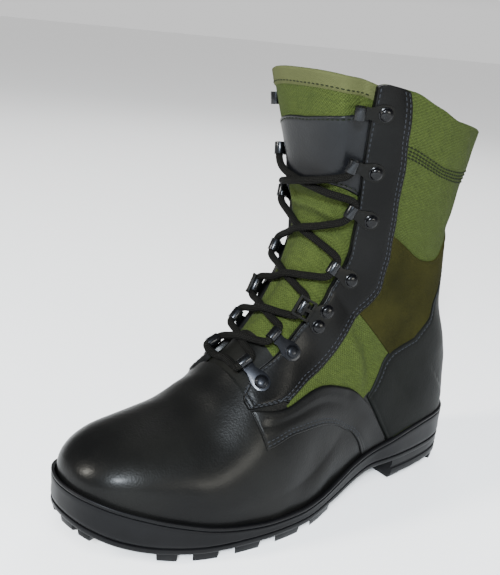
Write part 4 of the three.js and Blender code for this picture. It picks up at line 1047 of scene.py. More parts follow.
def make_tongue(canvas, tape, leather, stitches):
    u = np.linspace(TONGUE_START, TONGUE_TOP, 170)[:, None]
    flap = np.linspace(-1, 0, FLAP_COLUMNS)[:-1]
    share = np.concatenate([flap, np.linspace(0, 1, 84), 1 - flap[::-1]])
    edge = throat_v(u)
    width = edge * FLAP_SHARE
    above = np.where(share > 1, 1 - edge + width * (share - 1), lerp(edge, 1 - edge, share))
    v = np.where(share < 0, edge + width * share, above)
    u = np.repeat(u, len(share), 1)
    inside = smooth((from_edge(v) - throat_v(u)) / TONGUE_FREE)
    bound = BINDING_THICK * smooth((u - BINDING_U) / 0.003) * inside
    top = np.linalg.norm(form(u, v) - form(np.full_like(u, TONGUE_TOP), v), axis=-1)
    turn = (1 - round_edge(top, TONGUE_WALL / 2)) * TONGUE_WALL / 2
    outer, _ = tongue_skin(u, v, bound - turn)
    inner, _ = tongue_skin(u, v, turn - TONGUE_WALL)
    obj = closed_sheet("tongue", outer, inner, arc_uv(outer))
    middles = (u[:-1, :-1] + u[1:, 1:]) / 2
    slots = np.where(middles > BINDING_U, 1, np.where(middles < TONGUE_LEATHER_U, 2, 0)).ravel()
    all_slots = np.zeros(len(obj.data.polygons), int)
    all_slots[: len(slots)] = slots
    obj.data.polygons.foreach_set("material_index", all_slots)
    finish_piece(obj, (canvas, tape, leather), ("tongue",), sharp=50)
    edge = throat_v(BINDING_SEAM_U)
    v = np.linspace(edge + 0.01, 0.99 - edge, SEAM_POINTS)
    stitches.line(*tongue_skin(np.full(SEAM_POINTS, BINDING_SEAM_U), v, BINDING_THICK))


PATCH_LENGTH = 44.0
PATCH_WIDTH = 60.0
PATCH_SEAM = 2.2
PATCH_SINK = 0.3


def patch_uv(a, b):
    edge = PATCH_EDGE + throat_v(0.82)
    v = lerp(edge, 1 - edge, b)
    lean = PATCH_TILT * (0.5 - v) / TONGUE_ARCH_HALF
    return lerp(PATCH_LOW_U, PATCH_TOP_U, a) + PATCH_SLOPE * np.abs(v - 0.5) + lean, v


def make_patch(leather, stitches):
    a, b = np.meshgrid(spread(PATCH_LENGTH, 2.0), spread(PATCH_WIDTH, 2.0), indexing="ij")
    end = np.minimum(a, 1 - a) * PATCH_LENGTH
    edge = np.minimum(end, np.minimum(b, 1 - b) * PATCH_WIDTH)
    groove = SEAM_DEPTH * np.exp(-(((end - PATCH_SEAM) / SEAM_WIDTH) ** 2))
    u, v = patch_uv(a, b)
    outer, _ = tongue_skin(u, v, PATCH_THICK * round_edge(edge, 1.0) - groove)
    inner, _ = tongue_skin(u, v, -PATCH_SINK)
    obj = closed_sheet("tongue_patch", outer, inner, arc_uv(outer))
    finish_piece(obj, (leather,), ("tongue_patch",), sharp=60)
    for place in (PATCH_SEAM / PATCH_LENGTH, 1 - PATCH_SEAM / PATCH_LENGTH):
        u, v = patch_uv(np.full(SEAM_POINTS, place), np.linspace(0.02, 0.98, SEAM_POINTS))
        stitches.line(*tongue_skin(u, v, PATCH_THICK - SEAM_DEPTH))


# The lace's hardware

LACE = 4
LOOP_PLATE = 0.9
LOOP_BORE = 4.8
LOOP_ROLL_WALL = 0.8
LOOP_ROLL_LENGTH = 7.5
LOOP_REACH = 13
LOOP_HEAD = 5.6
LOOP_SEAT = 1.75
RIVET_RADIUS = 3.9
RIVET_HEIGHT = 2.3
ROLL_RISE = 2.2
ROLL_CENTRE = LOOP_REACH + LOOP_BORE / 2
LOCK_ROW = 2
LOCK_SPREAD = 5.2
NORMAL_AT = 0.35
LOOP_ROWS = [
    # u, v, end u, end v
    (0.474, 0.388, 0.472, 0.432),
    (0.522, 0.37, 0.518, 0.413),
    (0.572, 0.345, 0.564, 0.392),
    (0.642, 0.318, 0.632, 0.372),
    (0.77, 0.297, 0.752, 0.36),
    (0.842, 0.295, 0.828, 0.355),
    (0.924, 0.3, 0.916, 0.36),
]


def loop_frame(row, side, seat=LOOP_SEAT):
    """The rivet's place and the axes there: to the loop's end, along the eyestay and out."""
    u, v, end_u, end_v = row
    v, end_v = on_side(v, side), on_side(end_v, side)
    start = skin(u, v, seat)
    tip = skin(end_u, end_v, seat)
    normal = form_normal(lerp(u, end_u, NORMAL_AT), lerp(v, end_v, NORMAL_AT))
    ahead = tip - start
    ahead -= normal * (ahead @ normal)
    ahead /= np.linalg.norm(ahead)
    aside = np.cross(normal, ahead)
    return start, np.stack([ahead, aside, normal])


def plate_outline(head_x, head_y):
    half = LOOP_ROLL_LENGTH / 2
    side = [(LOOP_REACH, half), (LOOP_REACH - 4, half - 0.5), (3, head_y)]
    turns = [math.pi * (0.5 + i / 14) for i in range(15)]
    head = [(head_x * math.cos(turn), head_y * math.sin(turn)) for turn in turns]
    return side + head + [(x, -y) for x, y in reversed(side)]


def tube(edit, outer, inner, half, centre, sides=28):
    rings = []
    for radius, y in ((outer, -half), (outer, half), (inner, half), (inner, -half)):
        places = [(centre[0] + radius * c, y, centre[1] + radius * s) for c, s in circle(sides)]
        rings.append([edit.verts.new(place) for place in places])
    for a, b in zip(rings, rings[1:] + rings[:1]):
        bridge(edit, b, a)


def placed(edit, start, axes, name, materials, bevel=0.22):
    bevel_sharp(edit, 40, bevel)
    obj = edited_object(name, edit, lambda p: start + p @ axes)
    return finish_piece(obj, materials, (name,), sharp=35)


# The lock's frame of bars round the roll, with a T of two bars on top
LOCK_BARS = [
    # x from, y from, x to, y to, z from, z to
    (8.6, -6.2, 10.2, 6.2, 0.9, 4.6),
    (18.6, -6.2, 20.2, 6.2, 2.6, 4.6),
    (8.6, -6.4, 20.2, -4.9, 3.0, 4.8),
    (8.6, 4.9, 20.2, 6.4, 3.0, 4.8),
    (10.0, -1.1, 15.0, 1.1, 4.9, 5.9),
    (13.6, -4.0, 15.2, 4.0, 4.9, 6.0),
]


LOCK_HEAD = (LOOP_HEAD - 1, LOCK_SPREAD + LOOP_HEAD - 1.6)
PLAIN_HEAD = (LOOP_HEAD, LOOP_HEAD - 0.2)


def make_loop(label, row, k, side, material, silver):
    start, axes = loop_frame(row, side)
    edit = bmesh.new()
    locks = k == LOCK_ROW
    extrude(edit, plate_outline(*(LOCK_HEAD if locks else PLAIN_HEAD)), 0, LOOP_PLATE)
    plain = len(edit.faces)
    centre = (ROLL_CENTRE, ROLL_RISE)
    tube(edit, LOOP_BORE / 2 + LOOP_ROLL_WALL, LOOP_BORE / 2, LOOP_ROLL_LENGTH / 2, centre)
    for face in list(edit.faces)[plain:]:
        face.material_index = 1
    if locks:
        for x0, y0, x1, y1, low, high in LOCK_BARS:
            extrude(edit, [(x0, y0), (x1, y0), (x1, y1), (x0, y1)], low, high)
    name = f"{'lock' if locks else 'loop'}_{label}_{k + 1}"
    placed(edit, start, axes, name, (material, silver))


RIVET_PROFILE = [
    # share of the radius, share of the height
    (1.12, -0.15), (1.12, 0.1), (1.02, 0.2), (0.96, 0.24),
    (0.95, 0.45), (0.84, 0.72), (0.62, 0.9), (0.32, 0.98),
]
RIVET_SIDES = 32
RIVET_FIT = 0.98
RIVET_BEVEL = 0.05


def make_rivet(label, row, k, side, material, number="", aside=0.0):
    start, axes = loop_frame(row, side)
    start = start + axes[1] * aside + axes[2] * LOOP_PLATE
    edit = bmesh.new()
    rings = []
    for share, rise in RIVET_PROFILE:
        radius = RIVET_RADIUS * share * RIVET_FIT
        places = [(radius * c, radius * s, rise * RIVET_HEIGHT) for c, s in circle(RIVET_SIDES)]
        rings.append([edit.verts.new(place) for place in places])
    for a, b in zip(rings[:-1], rings[1:]):
        bridge(edit, a, b)
    edit.faces.new(list(reversed(rings[0])))
    top = edit.verts.new((0, 0, RIVET_HEIGHT))
    for s in range(RIVET_SIDES):
        edit.faces.new([rings[-1][s], rings[-1][(s + 1) % RIVET_SIDES], top])
    placed(edit, start, axes, f"rivet_{label}_{k + 1}{number}", (material,), RIVET_BEVEL)


# The lace: one cord from the sixth loop on one side, down to the bar and up to the other side

LACE_SIDES = 14
LACE_RADIUS = 2.25


def roll_centre(k, side, along):
    """A point on the roll's axis. along is over 0 towards the boot's top."""
    start, axes = loop_frame(LOOP_ROWS[k], side)
    local = np.array([ROLL_CENTRE, (-along if side > 0 else along), ROLL_RISE])
    return start + local @ axes


def over_tongue(u, v, above):
    patched = PATCH_THICK * smooth((u - PATCH_LOW_U + 0.03) / 0.02)
    return tongue_skin(u, v, patched + LACE / 2 + above)[0]


def ridge_u(point):
    tries = np.linspace(TONGUE_START, TONGUE_TOP, 300)
    return tries[np.argmin(np.linalg.norm(form(tries, np.full(300, 0.5)) - point, axis=-1))]


# How far a strand is off the tongue where two cross: 1 for the one below, -1 for the one above
STRAND_HEIGHTS = {1: 0.1, -1: 3.9}
STRAND_PLACES = (0.27, 0.5, 0.73)
STRAND_REACH = 0.11
STRAND_FALL = 2.2
LACE_CLEAR = 0.3
LACE_PAIRS = 6
ROLL_OUT = LOOP_ROLL_LENGTH / 2 + 1.6


def strand_points(k, side, height):
    """From the upper end of loop k on one side to the lower end of the next on the other side."""
    start = roll_centre(k, side, ROLL_OUT)
    end = roll_centre(k + 1, -side, -ROLL_OUT)
    a = ridge_u(start * [1, 0, 1])
    b = ridge_u(end * [1, 0, 1])
    points = []
    for t in STRAND_PLACES:
        line = lerp(start, end, t)
        u = lerp(a, b, t)
        v = 0.5 + side * lerp(-STRAND_REACH, STRAND_REACH, t)
        lift = height * (1 - abs(t - 0.5) * STRAND_FALL) + LACE_CLEAR
        normal = form_normal(u, v)
        points.append(line + normal * max(float((over_tongue(u, v, lift) - line) @ normal), 0.0))
    return points


def lace_side(first_side):
    """The points of half the lace, from the bar up to its end in the sixth loop."""
    points = []
    side = first_side
    for k in range(LACE_PAIRS):
        points.append(roll_centre(k, side, -ROLL_OUT))
        points.append(roll_centre(k, side, 0))
        if k == LACE_PAIRS - 1:
            points.append(roll_centre(k, side, LOOP_ROLL_LENGTH / 2 - 0.8))
            break
        points.append(roll_centre(k, side, ROLL_OUT))
        high = STRAND_HEIGHTS[1 if (k % 2 == 0) == (first_side > 0) else -1]
        points += strand_points(k, side, high)
        side = -side
    return points


def catmull(points, per_span):
    q = np.array([2 * points[0] - points[1], *points, 2 * points[-1] - points[-2]])
    t = np.arange(per_span)[:, None] / per_span
    spans = [spline(q[i : i + 4], t) for i in range(len(points) - 1)]
    return np.concatenate([*spans, q[-2:-1]])


TUBE_STEP = 0.9


def make_tube(name, path, radius, sides):
    """A round tube along a path. Its UVs are shares of a turn, and circumferences along it."""
    at = lengths_along(path)
    even = np.linspace(0, at[-1], int(at[-1] / TUBE_STEP))
    path = read_along(path, at, even)
    for _ in range(2):
        path[1:-1] = (path[:-2] + 2 * path[1:-1] + path[2:]) / 4
    tangent = np.gradient(path, axis=0)
    tangent /= np.linalg.norm(tangent, axis=1)[:, None]
    up = np.cross(tangent[0], [0.3, 0.2, 1.0])
    points = []
    uv = []
    for p, t, place in zip(path, tangent, even):
        up = up - t * (up @ t)
        up /= np.linalg.norm(up)
        aside = np.cross(t, up)
        for cosine, sine in circle(sides) + [(1, 0)]:
            points.append(p + radius * (up * cosine + aside * sine))
        for s in range(sides + 1):
            uv.append((s / sides, place / (2 * math.pi * radius)))
    faces = grid_faces(len(path), sides + 1)
    uv = np.array(uv)
    corner_uv = uv[np.array(faces).ravel()]
    kept = np.arange(len(points)).reshape(len(path), sides + 1)[:, :-1].ravel()
    remap = np.zeros(len(points), int)
    remap[kept] = np.arange(len(kept))
    ends = np.arange(len(points)).reshape(len(path), sides + 1)[:, -1]
    remap[ends] = remap[ends - sides]
    faces = remap[np.array(faces)].tolist()
    caps = [list(range(sides)), [len(kept) - sides + s for s in reversed(range(sides))]]
    mesh_uv = np.concatenate([corner_uv, np.zeros((2 * sides, 2))])
    numbers = np.arange(len(mesh_uv))
    return make_object(name, np.array(points)[kept], faces + caps, mesh_uv, uv_index=numbers)


BAR_REACH = 0.045


def make_lace(material):
    left = lace_side(-1)
    right = lace_side(1)
    middle = ridge_u((left[0] + right[0]) / 2 * [1, 0, 1])
    bar = [over_tongue(middle, 0.5 + s * BAR_REACH, LACE_CLEAR) for s in (-1, 0, 1)]
    path = catmull([*reversed(right), *bar, *left], 12)
    obj = face_out(make_tube("lace", path, LACE_RADIUS, LACE_SIDES))
    nodes = ["lace_bar"] + [f"lace_cross_{k + 1}" for k in range(LACE_PAIRS - 1)]
    return finish_piece(obj, (material,), nodes)


# The sole

SOLE_STEPS = 440
SOLE_SHARES = np.arange(SOLE_STEPS) / SOLE_STEPS
BEAD_DROP = 2.8
# The midsole's side. up is a share of the wall below the bead, down a distance below the rim.
MIDSOLE_SIDE = [
    # kind, place, inset
    ("up", 0, 0.9),
    ("up", 0.05, 0.35),
    ("up", 0.12, 0.08),
    ("up", 0.2, 0),
    ("up", 0.5, 0.25),
    ("up", 0.8, 0.05),
    ("up", 0.93, 0),
    ("up", 0.985, 0.2),
    ("down", 2.6, 0.95),
    ("down", 2.35, 0.5),
    ("down", 2.0, 0.12),
    ("down", 1.4, -0.05),
    ("down", 0.8, 0.0),
    ("down", 0.3, 0.25),
    ("down", 0.05, 0.7),
    ("down", 0.0, 1.1),
    ("down", 0.15, RIM_WIDTH - 0.9),
    ("down", 0.8, RIM_WIDTH - 0.5),
    ("down", RIM_LIP, RIM_WIDTH),
]


def sole_ring(inset, height):
    points = outline(SOLE_SHARES, inset)
    return np.concatenate([points, height(points[:, 0])[:, None]], 1)


def loft(rings):
    """Vertices and faces through rings of paired points, closed across the first and last."""
    size = len(rings[0])
    points = np.concatenate(rings)
    faces = [list(reversed(f)) for f in grid_faces(len(rings), size, close=True)]
    last = (len(rings) - 1) * size
    for i in range(size // 2):
        ring = [i, i + 1, (size - i - 1) % size, (size - i) % size]
        ring = [n for k, n in enumerate(ring) if n not in ring[:k]]
        faces.append(ring)
        faces.append([last + n for n in reversed(ring)])
    return points, faces


def make_midsole(rubber):
    def ring(kind, place, inset):
        if kind == "down":
            return sole_ring(inset, lambda x: rim_z(x) - place)
        return sole_ring(inset, lambda x: lerp(parting_z(x) + GAP, rim_z(x) - BEAD_DROP, place))

    obj = face_out(make_object("midsole", *loft([ring(*row) for row in MIDSOLE_SIDE])))
    finish_piece(obj, (rubber,), ("midsole",), sharp=50)


INSOLE_INSET = UPPER_INSET + UPPER_WALL + 0.8
INSOLE_SIDE = [
    # inset, height
    (1.2, 0), (0.3, 0.5), (0, 1.4), (0.1, 2.3), (0.7, 3), (3, 2.9),
]


def make_insole(cloth):
    def ring(inset, height):
        return sole_ring(INSOLE_INSET + inset, lambda x: rim_z(x) - RIM_LIP + (GAP + height))

    obj = face_out(make_object("insole", *loft([ring(*row) for row in INSOLE_SIDE])))
    finish_piece(obj, (cloth,), ("insole",), sharp=60)


STAR_LUGS = [
    # along, side, size
    (0.827, -0.064, 1),
    (0.725, -0.045, 1),
    (0.61, -0.018, 1),
    (0.503, 0, 0.85),
]
STAR_HALF = [(20, 4.5), (8, 5), (0, 10), (-8, 19), (-15, 17), (-8.5, 8), (-6, 0)]
HOOK_LUGS = [
    # side, front, rear
    (1, 0.872, 0.834),
    (1, 0.808, 0.758),
    (1, 0.726, 0.669),
    (1, 0.634, 0.569),
    (1, 0.537, 0.47),
    (-1, 0.826, 0.785),
    (-1, 0.752, 0.695),
    (-1, 0.654, 0.6),
    (-1, 0.547, 0.482),
]
HOOK_CORNERS = [(0.055, 0.53), (0.026, 0.33), (0, 0.33), (-0.016, 0.44), (0.011, 0.57)]
RIM_BLOCKS = [
    # side, from, to, deep
    (1, 0.9, 0.935, 17),
    (1, 0.95, 0.99, 17),
    (-1, 0.865, 0.905, 19),
    (-1, 0.92, 0.965, 17),
    (1, 0.012, 0.1, 12),
    (-1, 0.012, 0.1, 12),
    (1, 0.125, 0.17, 21),
    (-1, 0.125, 0.17, 21),
]
PADS = [
    # along, lateral, medial, long, wide
    (0.425, 0.25, -0.21, 11, 20),
    (0.37, 0.23, -0.2, 8.5, 16),
    (0.318, 0.215, -0.21, 11, 20),
]
PAD_CORNERS = [(0.5, -0.25), (0.5, 0.25), (0, 0.5), (-0.5, 0.25), (-0.5, -0.25), (0, -0.5)]
HEEL_BAR = [
    # along, side
    (0.243, 0.32), (0.243, -0.3), (0.2, -0.29), (0.197, -0.16), (0.183, -0.12),
    (0.19, 0), (0.183, 0.13), (0.197, 0.17), (0.2, 0.31),
]
HEEL_STAR = (9, 14, 15, 6)
PLATE_SIDE = [
    # surface, rise, inset
    (plate_z, 0, 3.0),
    (plate_z, 0.1, 1.0),
    (plate_z, 0.5, 0.4),
    (plate_z, 1, 0.15),
    (parting_z, -1.2, 0),
    (parting_z, -0.5, 0.15),
    (parting_z, 0, 0.8),
]
HEEL_SIDE = [
    # share of the height, inset
    (0, 0.9),
    (0.05, 0.5),
    (0.12, 0.35),
    (0.36, 0.25),
    (0.4, 0.4),
    (0.43, 1.05),
    (0.46, 1.25),
    (0.56, 1.25),
    (0.59, 1.05),
    (0.62, 0.35),
    (0.66, 0.25),
    (1, 0.3),
]
LUG_DRAFT = 0.93
LUG_ROOT = 1
LUG_EDGE = 0.9
LUG_BEVEL = 0.8


def outline_at(along, side, inset):
    line = outline(side_shares(FINE, side), inset)
    x = along * SOLE_LENGTH
    return (x, float(np.interp(x, line[:, 0], line[:, 1])))


class Tread:
    def __init__(self):
        self.edit = bmesh.new()

    def block(self, corners, top, bottom):
        corners = np.array(corners, float)
        centre = corners.mean(0)
        foot = (corners - centre) * LUG_DRAFT + centre
        low = [self.edit.verts.new((x, y, bottom(x))) for x, y in foot]
        high = [self.edit.verts.new((x, y, top(x))) for x, y in corners]
        self.edit.faces.new(low)
        self.edit.faces.new(list(reversed(high)))
        bridge(self.edit, high, low)

    def add(self, points, faces):
        made = [self.edit.verts.new(p) for p in points]
        for f in faces:
            self.edit.faces.new([made[i] for i in f])


def plan(along, side):
    return np.array([along * SOLE_LENGTH, side * BALL_WIDTH])


def lug_top(x):
    return plate_z(x) + LUG_ROOT


def heel_top(x):
    return LUG_DEPTH + LUG_ROOT


def ground(x):
    return 0.0


def add_lugs(tread):
    for along, side, size in STAR_LUGS:
        half = np.array(STAR_HALF) * size
        other = half[-2::-1] * [1, -1]
        tread.block(np.concatenate([half, other]) + plan(along, side), lug_top, tread_z)
    for side, front, rear in HOOK_LUGS:
        a, middle, b = (outline_at(along, side, LUG_EDGE) for along in (front, (front + rear) / 2, rear))
        corners = [((rear - behind) * SOLE_LENGTH, b[1] * across) for behind, across in HOOK_CORNERS]
        tread.block([a, middle, b, *corners], lug_top, tread_z)
    for side, start, stop, deep in RIM_BLOCKS:
        shares = side_shares(np.linspace(start, stop, 9) / 2, side)
        corners = np.concatenate([outline(shares, LUG_EDGE), outline(shares, deep)[::-1]])
        tread.block(corners, *((heel_top, ground) if stop < 0.5 else (lug_top, tread_z)))
    for along, lateral, medial, long, wide in PADS:
        for side in (lateral, medial):
            corners = plan(along, side) + np.array(PAD_CORNERS) * (long, wide)
            tread.block(corners, lug_top, tread_z)
    tread.block([plan(*p) for p in HEEL_BAR], heel_top, ground)
    ahead, behind, arm, stem = HEEL_STAR
    corners = [(ahead, -stem), (ahead, stem), (0, arm), (-6, arm), (-4, stem), (-behind, stem - 1)]
    corners += [(x, -y) for x, y in reversed(corners[2:])]
    tread.block([(HEEL_REST_BACK + x, y) for x, y in corners], heel_top, ground)


HEEL_POINTS = 60
HEEL_FINE = np.linspace(0, 0.5, 500)


def heel_ring(up, inset):
    """The heel's outline, from its front on one side round the back to the other."""
    sides = []
    for side in (1, -1):
        line = outline(side_shares(HEEL_FINE, side), inset)
        corner = outline_at(HEEL_LENGTH / SOLE_LENGTH, side, inset)
        reach = np.concatenate([line[line[:, 0] < HEEL_LENGTH], [corner]])
        sides.append(reach[np.linspace(0, len(reach) - 1, HEEL_POINTS).round().astype(int)])
    ring = np.concatenate([sides[0], sides[1][:0:-1]])
    z = lerp(LUG_DEPTH, float(plate_z(np.array(0.0))) + 1.2, up)
    return np.concatenate([ring, np.full((len(ring), 1), z)], 1)


def make_outsole(rubber):
    tread = Tread()
    add_lugs(tread)
    bevel_sharp(tread.edit, 35, LUG_BEVEL, clamp=True)
    tread.add(*loft([sole_ring(inset, lambda x: at(x) + rise) for at, rise, inset in PLATE_SIDE]))
    tread.add(*loft([heel_ring(*row) for row in HEEL_SIDE]))
    finish_piece(edited_object("outsole", tread.edit), (rubber,), ("outsole",), sharp=40)


# Materials

class Nodes:
    """A material's node tree, with short calls that each add one node and give its output."""

    def __init__(self, name):
        self.material = bpy.data.materials.new(name)
        self.material.use_nodes = True
        self.tree = self.material.node_tree
        self.shader = self.tree.nodes["Principled BSDF"]

    def node(self, kind, inputs=(), output=0, **settings):
        made = self.tree.nodes.new(kind)
        for key, value in settings.items():
            setattr(made, key, value)
        for key, value in dict(inputs).items():
            self.put(made.inputs[key], value)
        return made.outputs[output]

    def put(self, socket, value):
        if isinstance(value, bpy.types.NodeSocket):
            self.tree.links.new(value, socket)
        else:
            socket.default_value = value

    def set(self, **values):
        for key, value in values.items():
            self.put(self.shader.inputs[key.replace("_", " ")], value)

    def math(self, operation, *values):
        return self.node("ShaderNodeMath", dict(enumerate(values)), operation=operation)

    def plus(self, *values):
        total = values[0]
        for value in values[1:]:
            total = self.math("ADD", total, value)
        return total

    def times(self, a, b):
        return self.math("MULTIPLY", a, b)

    def wave(self, place, width):
        """A sine along a place, half a turn in each width."""
        return self.math("SINE", self.times(place, math.pi / width))

    def uv_parts(self):
        split = self.node("ShaderNodeSeparateXYZ", {0: self.uv_place()})
        return split.node.outputs[0], split.node.outputs[1]

    def mix(self, share, a, b):
        return self.node("ShaderNodeMix", {0: share, 6: a, 7: b}, output=2, data_type="RGBA")

    def ramp(self, value, low, high, to_low, to_high):
        return self.node("ShaderNodeMapRange", {0: value, 1: low, 2: high, 3: to_low, 4: to_high})

    def object_place(self):
        return self.node("ShaderNodeTexCoord", output=3)

    def uv_place(self):
        return self.node("ShaderNodeTexCoord", output=2)

    def noise(self, place, scale, detail=3, rough=0.5):
        inputs = {"Vector": place, "Scale": scale, "Detail": detail, "Roughness": rough}
        return self.node("ShaderNodeTexNoise", inputs)

    def cells(self, place, scale, feature="F1"):
        return self.node("ShaderNodeTexVoronoi", {"Vector": place, "Scale": scale}, feature=feature)

    def bump(self, height, strength, distance, under=None):
        inputs = {"Height": height, "Strength": strength, "Distance": distance}
        if under is not None:
            inputs["Normal"] = under
        return self.node("ShaderNodeBump", inputs)


def rgba(red, green, blue):
    """A colour given as the 0 to 255 values seen on a screen."""
    values = [c / 255 for c in (red, green, blue)]
    return (*[c / 12.92 if c <= 0.04045 else ((c + 0.055) / 1.055) ** 2.4 for c in values], 1.0)


def leather_material(name, dark, light, rough=(0.3, 0.42), grain=0.3, coat=0.05, shine=0.07):
    n = Nodes(name)
    place = n.object_place()
    patches = n.noise(place, 22, 3)
    fine = n.noise(place, 420, 4, 0.6)
    pebbles = n.cells(place, 900)
    n.set(Base_Color=n.mix(n.ramp(patches, 0.35, 0.7, 0, 1), dark, light))
    n.set(Roughness=n.ramp(n.plus(patches, n.times(fine, 0.4)), 0.45, 0.95, *rough))
    n.set(Coat_Weight=coat, Coat_Roughness=0.22, Specular_IOR_Level=shine)
    wide = n.bump(n.noise(place, 60, 2), 0.25, 0.0012)
    skin_bump = n.bump(pebbles, grain, 0.00022, wide)
    n.set(Normal=n.bump(fine, grain * 0.6, 0.0002, skin_bump))
    return n.material


def canvas_material(name, dark, light, pitch=1.0, strength=0.6, streak=0.46):
    """A plain weave. pitch is the width of one thread in millimetres of the UV map."""
    n = Nodes(name)
    across, along = n.uv_parts()
    wobble = n.noise(n.object_place(), 170, 2)
    shift = n.times(n.math("SUBTRACT", wobble, 0.5), 1.1)
    weave = n.times(n.wave(n.plus(across, shift), pitch), n.wave(n.plus(along, shift), pitch))
    yarns = []
    for wide, high in ((0.12, 0.8), (0.9, 0.1)):
        place = n.node("ShaderNodeCombineXYZ", {0: n.times(across, wide), 1: n.times(along, high)})
        yarns.append(n.noise(place, 1.0, 3, 0.65))
    yarn, other_yarn = yarns
    fuzz = n.noise(n.object_place(), 1500, 3, 0.7)
    patches = n.noise(n.object_place(), 26, 4, 0.6)
    shares = ((weave, 0.07), (fuzz, 0.35), (yarn, streak), (other_yarn, streak * 0.5), (patches, 0.16))
    tone = n.plus(*(n.times(part, share) for part, share in shares))
    n.set(Base_Color=n.mix(n.ramp(tone, 0.28, 0.78, 0, 1), dark, light))
    n.set(Roughness=0.95, Specular_IOR_Level=0.12)
    coarse = n.bump(weave, strength, 0.00035)
    fine = n.bump(n.plus(yarn, other_yarn), strength, 0.0004, coarse)
    n.set(Normal=n.bump(fuzz, 0.3, 0.00025, fine))
    return n.material


def rubber_material(name, dark, light):
    n = Nodes(name)
    place = n.object_place()
    patches = n.noise(place, 26, 4, 0.55)
    fine = n.noise(place, 1600, 2)
    n.set(Base_Color=n.mix(n.ramp(patches, 0.3, 0.75, 0, 1), dark, light))
    n.set(Roughness=n.ramp(patches, 0.3, 0.8, 0.36, 0.52), Specular_IOR_Level=0.08)
    n.set(Normal=n.bump(fine, 0.25, 0.0001, n.bump(n.noise(place, 90, 2), 0.2, 0.0006)))
    return n.material


def metal_material(name, colour, rough, metallic, coat):
    n = Nodes(name)
    place = n.object_place()
    marks = n.noise(place, 700, 4, 0.65)
    worn = n.ramp(marks, 0.6, 0.8, 0, 0.2)
    n.set(Base_Color=n.mix(worn, colour, rgba(60, 60, 62)))
    n.set(Roughness=n.ramp(marks, 0.3, 0.7, rough, rough + 0.14))
    n.set(Metallic=metallic, Coat_Weight=coat, Coat_Roughness=0.12, Specular_IOR_Level=0.1)
    n.set(Normal=n.bump(n.noise(place, 300, 2), 0.12, 0.0002))
    return n.material


BRAID_TURNS = 6


def lace_material():
    n = Nodes("lace_braid")
    around, along = n.uv_parts()
    one = n.wave(n.plus(around, along), 0.5 / BRAID_TURNS)
    two = n.wave(n.math("SUBTRACT", around, along), 0.5 / BRAID_TURNS)
    braid = n.times(one, two)
    fuzz = n.noise(n.object_place(), 1500, 3, 0.7)
    tone = n.plus(n.times(braid, 0.25), fuzz)
    n.set(Base_Color=n.mix(n.ramp(tone, 0.3, 0.9, 0, 1), rgba(6, 6, 5), rgba(20, 19, 17)))
    n.set(Roughness=0.88, Specular_IOR_Level=0.06)
    n.set(Normal=n.bump(fuzz, 0.3, 0.0003, n.bump(braid, 0.8, 0.0005)))
    return n.material


def thread_material(name, dark, light):
    n = Nodes(name)
    fuzz = n.noise(n.object_place(), 2400, 2)
    n.set(Base_Color=n.mix(fuzz, dark, light))
    n.set(Roughness=0.75, Specular_IOR_Level=0.1)
    n.set(Normal=n.bump(fuzz, 0.4, 0.0002))
    return n.material


RIB_WIDTH = 0.55
PICK_WIDTH = 0.45


def webbing_material():
    n = Nodes("webbing_tape")
    across, along = n.uv_parts()
    weave = n.times(n.wave(along, RIB_WIDTH), n.wave(across, PICK_WIDTH))
    fuzz = n.noise(n.object_place(), 1200, 3, 0.7)
    patches = n.noise(n.object_place(), 30, 3)
    tone = n.plus(n.times(weave, 0.15), n.plus(fuzz, patches))
    n.set(Base_Color=n.mix(n.ramp(tone, 0.7, 1.35, 0, 1), rgba(18, 18, 6), rgba(39, 38, 14)))
    n.set(Roughness=0.92, Specular_IOR_Level=0.04)
    n.set(Normal=n.bump(fuzz, 0.25, 0.0002, n.bump(weave, 0.45, 0.0003)))
    return n.material


# The boot

# The rows of stitching round the shaft: their u, how much it rises to the back, and their reach
# in v on each side
COLLAR_ROWS = (0.902, 0.8973, 0.8927, 0.888)
COLLAR_ROWS_RISE = 0.05
COLLAR_ROWS_REACH = 0.245


def stitch_collar(stitches):
    for row in COLLAR_ROWS:
        for side in (1, -1):
            v = np.linspace(0, COLLAR_ROWS_REACH, 260)
            u = to_collar(row + COLLAR_ROWS_RISE * (1 - v / COLLAR_ROWS_REACH), v)
            points, normal, bump = surface(u, on_side(v, side))
            path = points + normal * bump[..., None]
            stitches.line(path, normal, length=2.7, radius=0.5, sink=0.15)


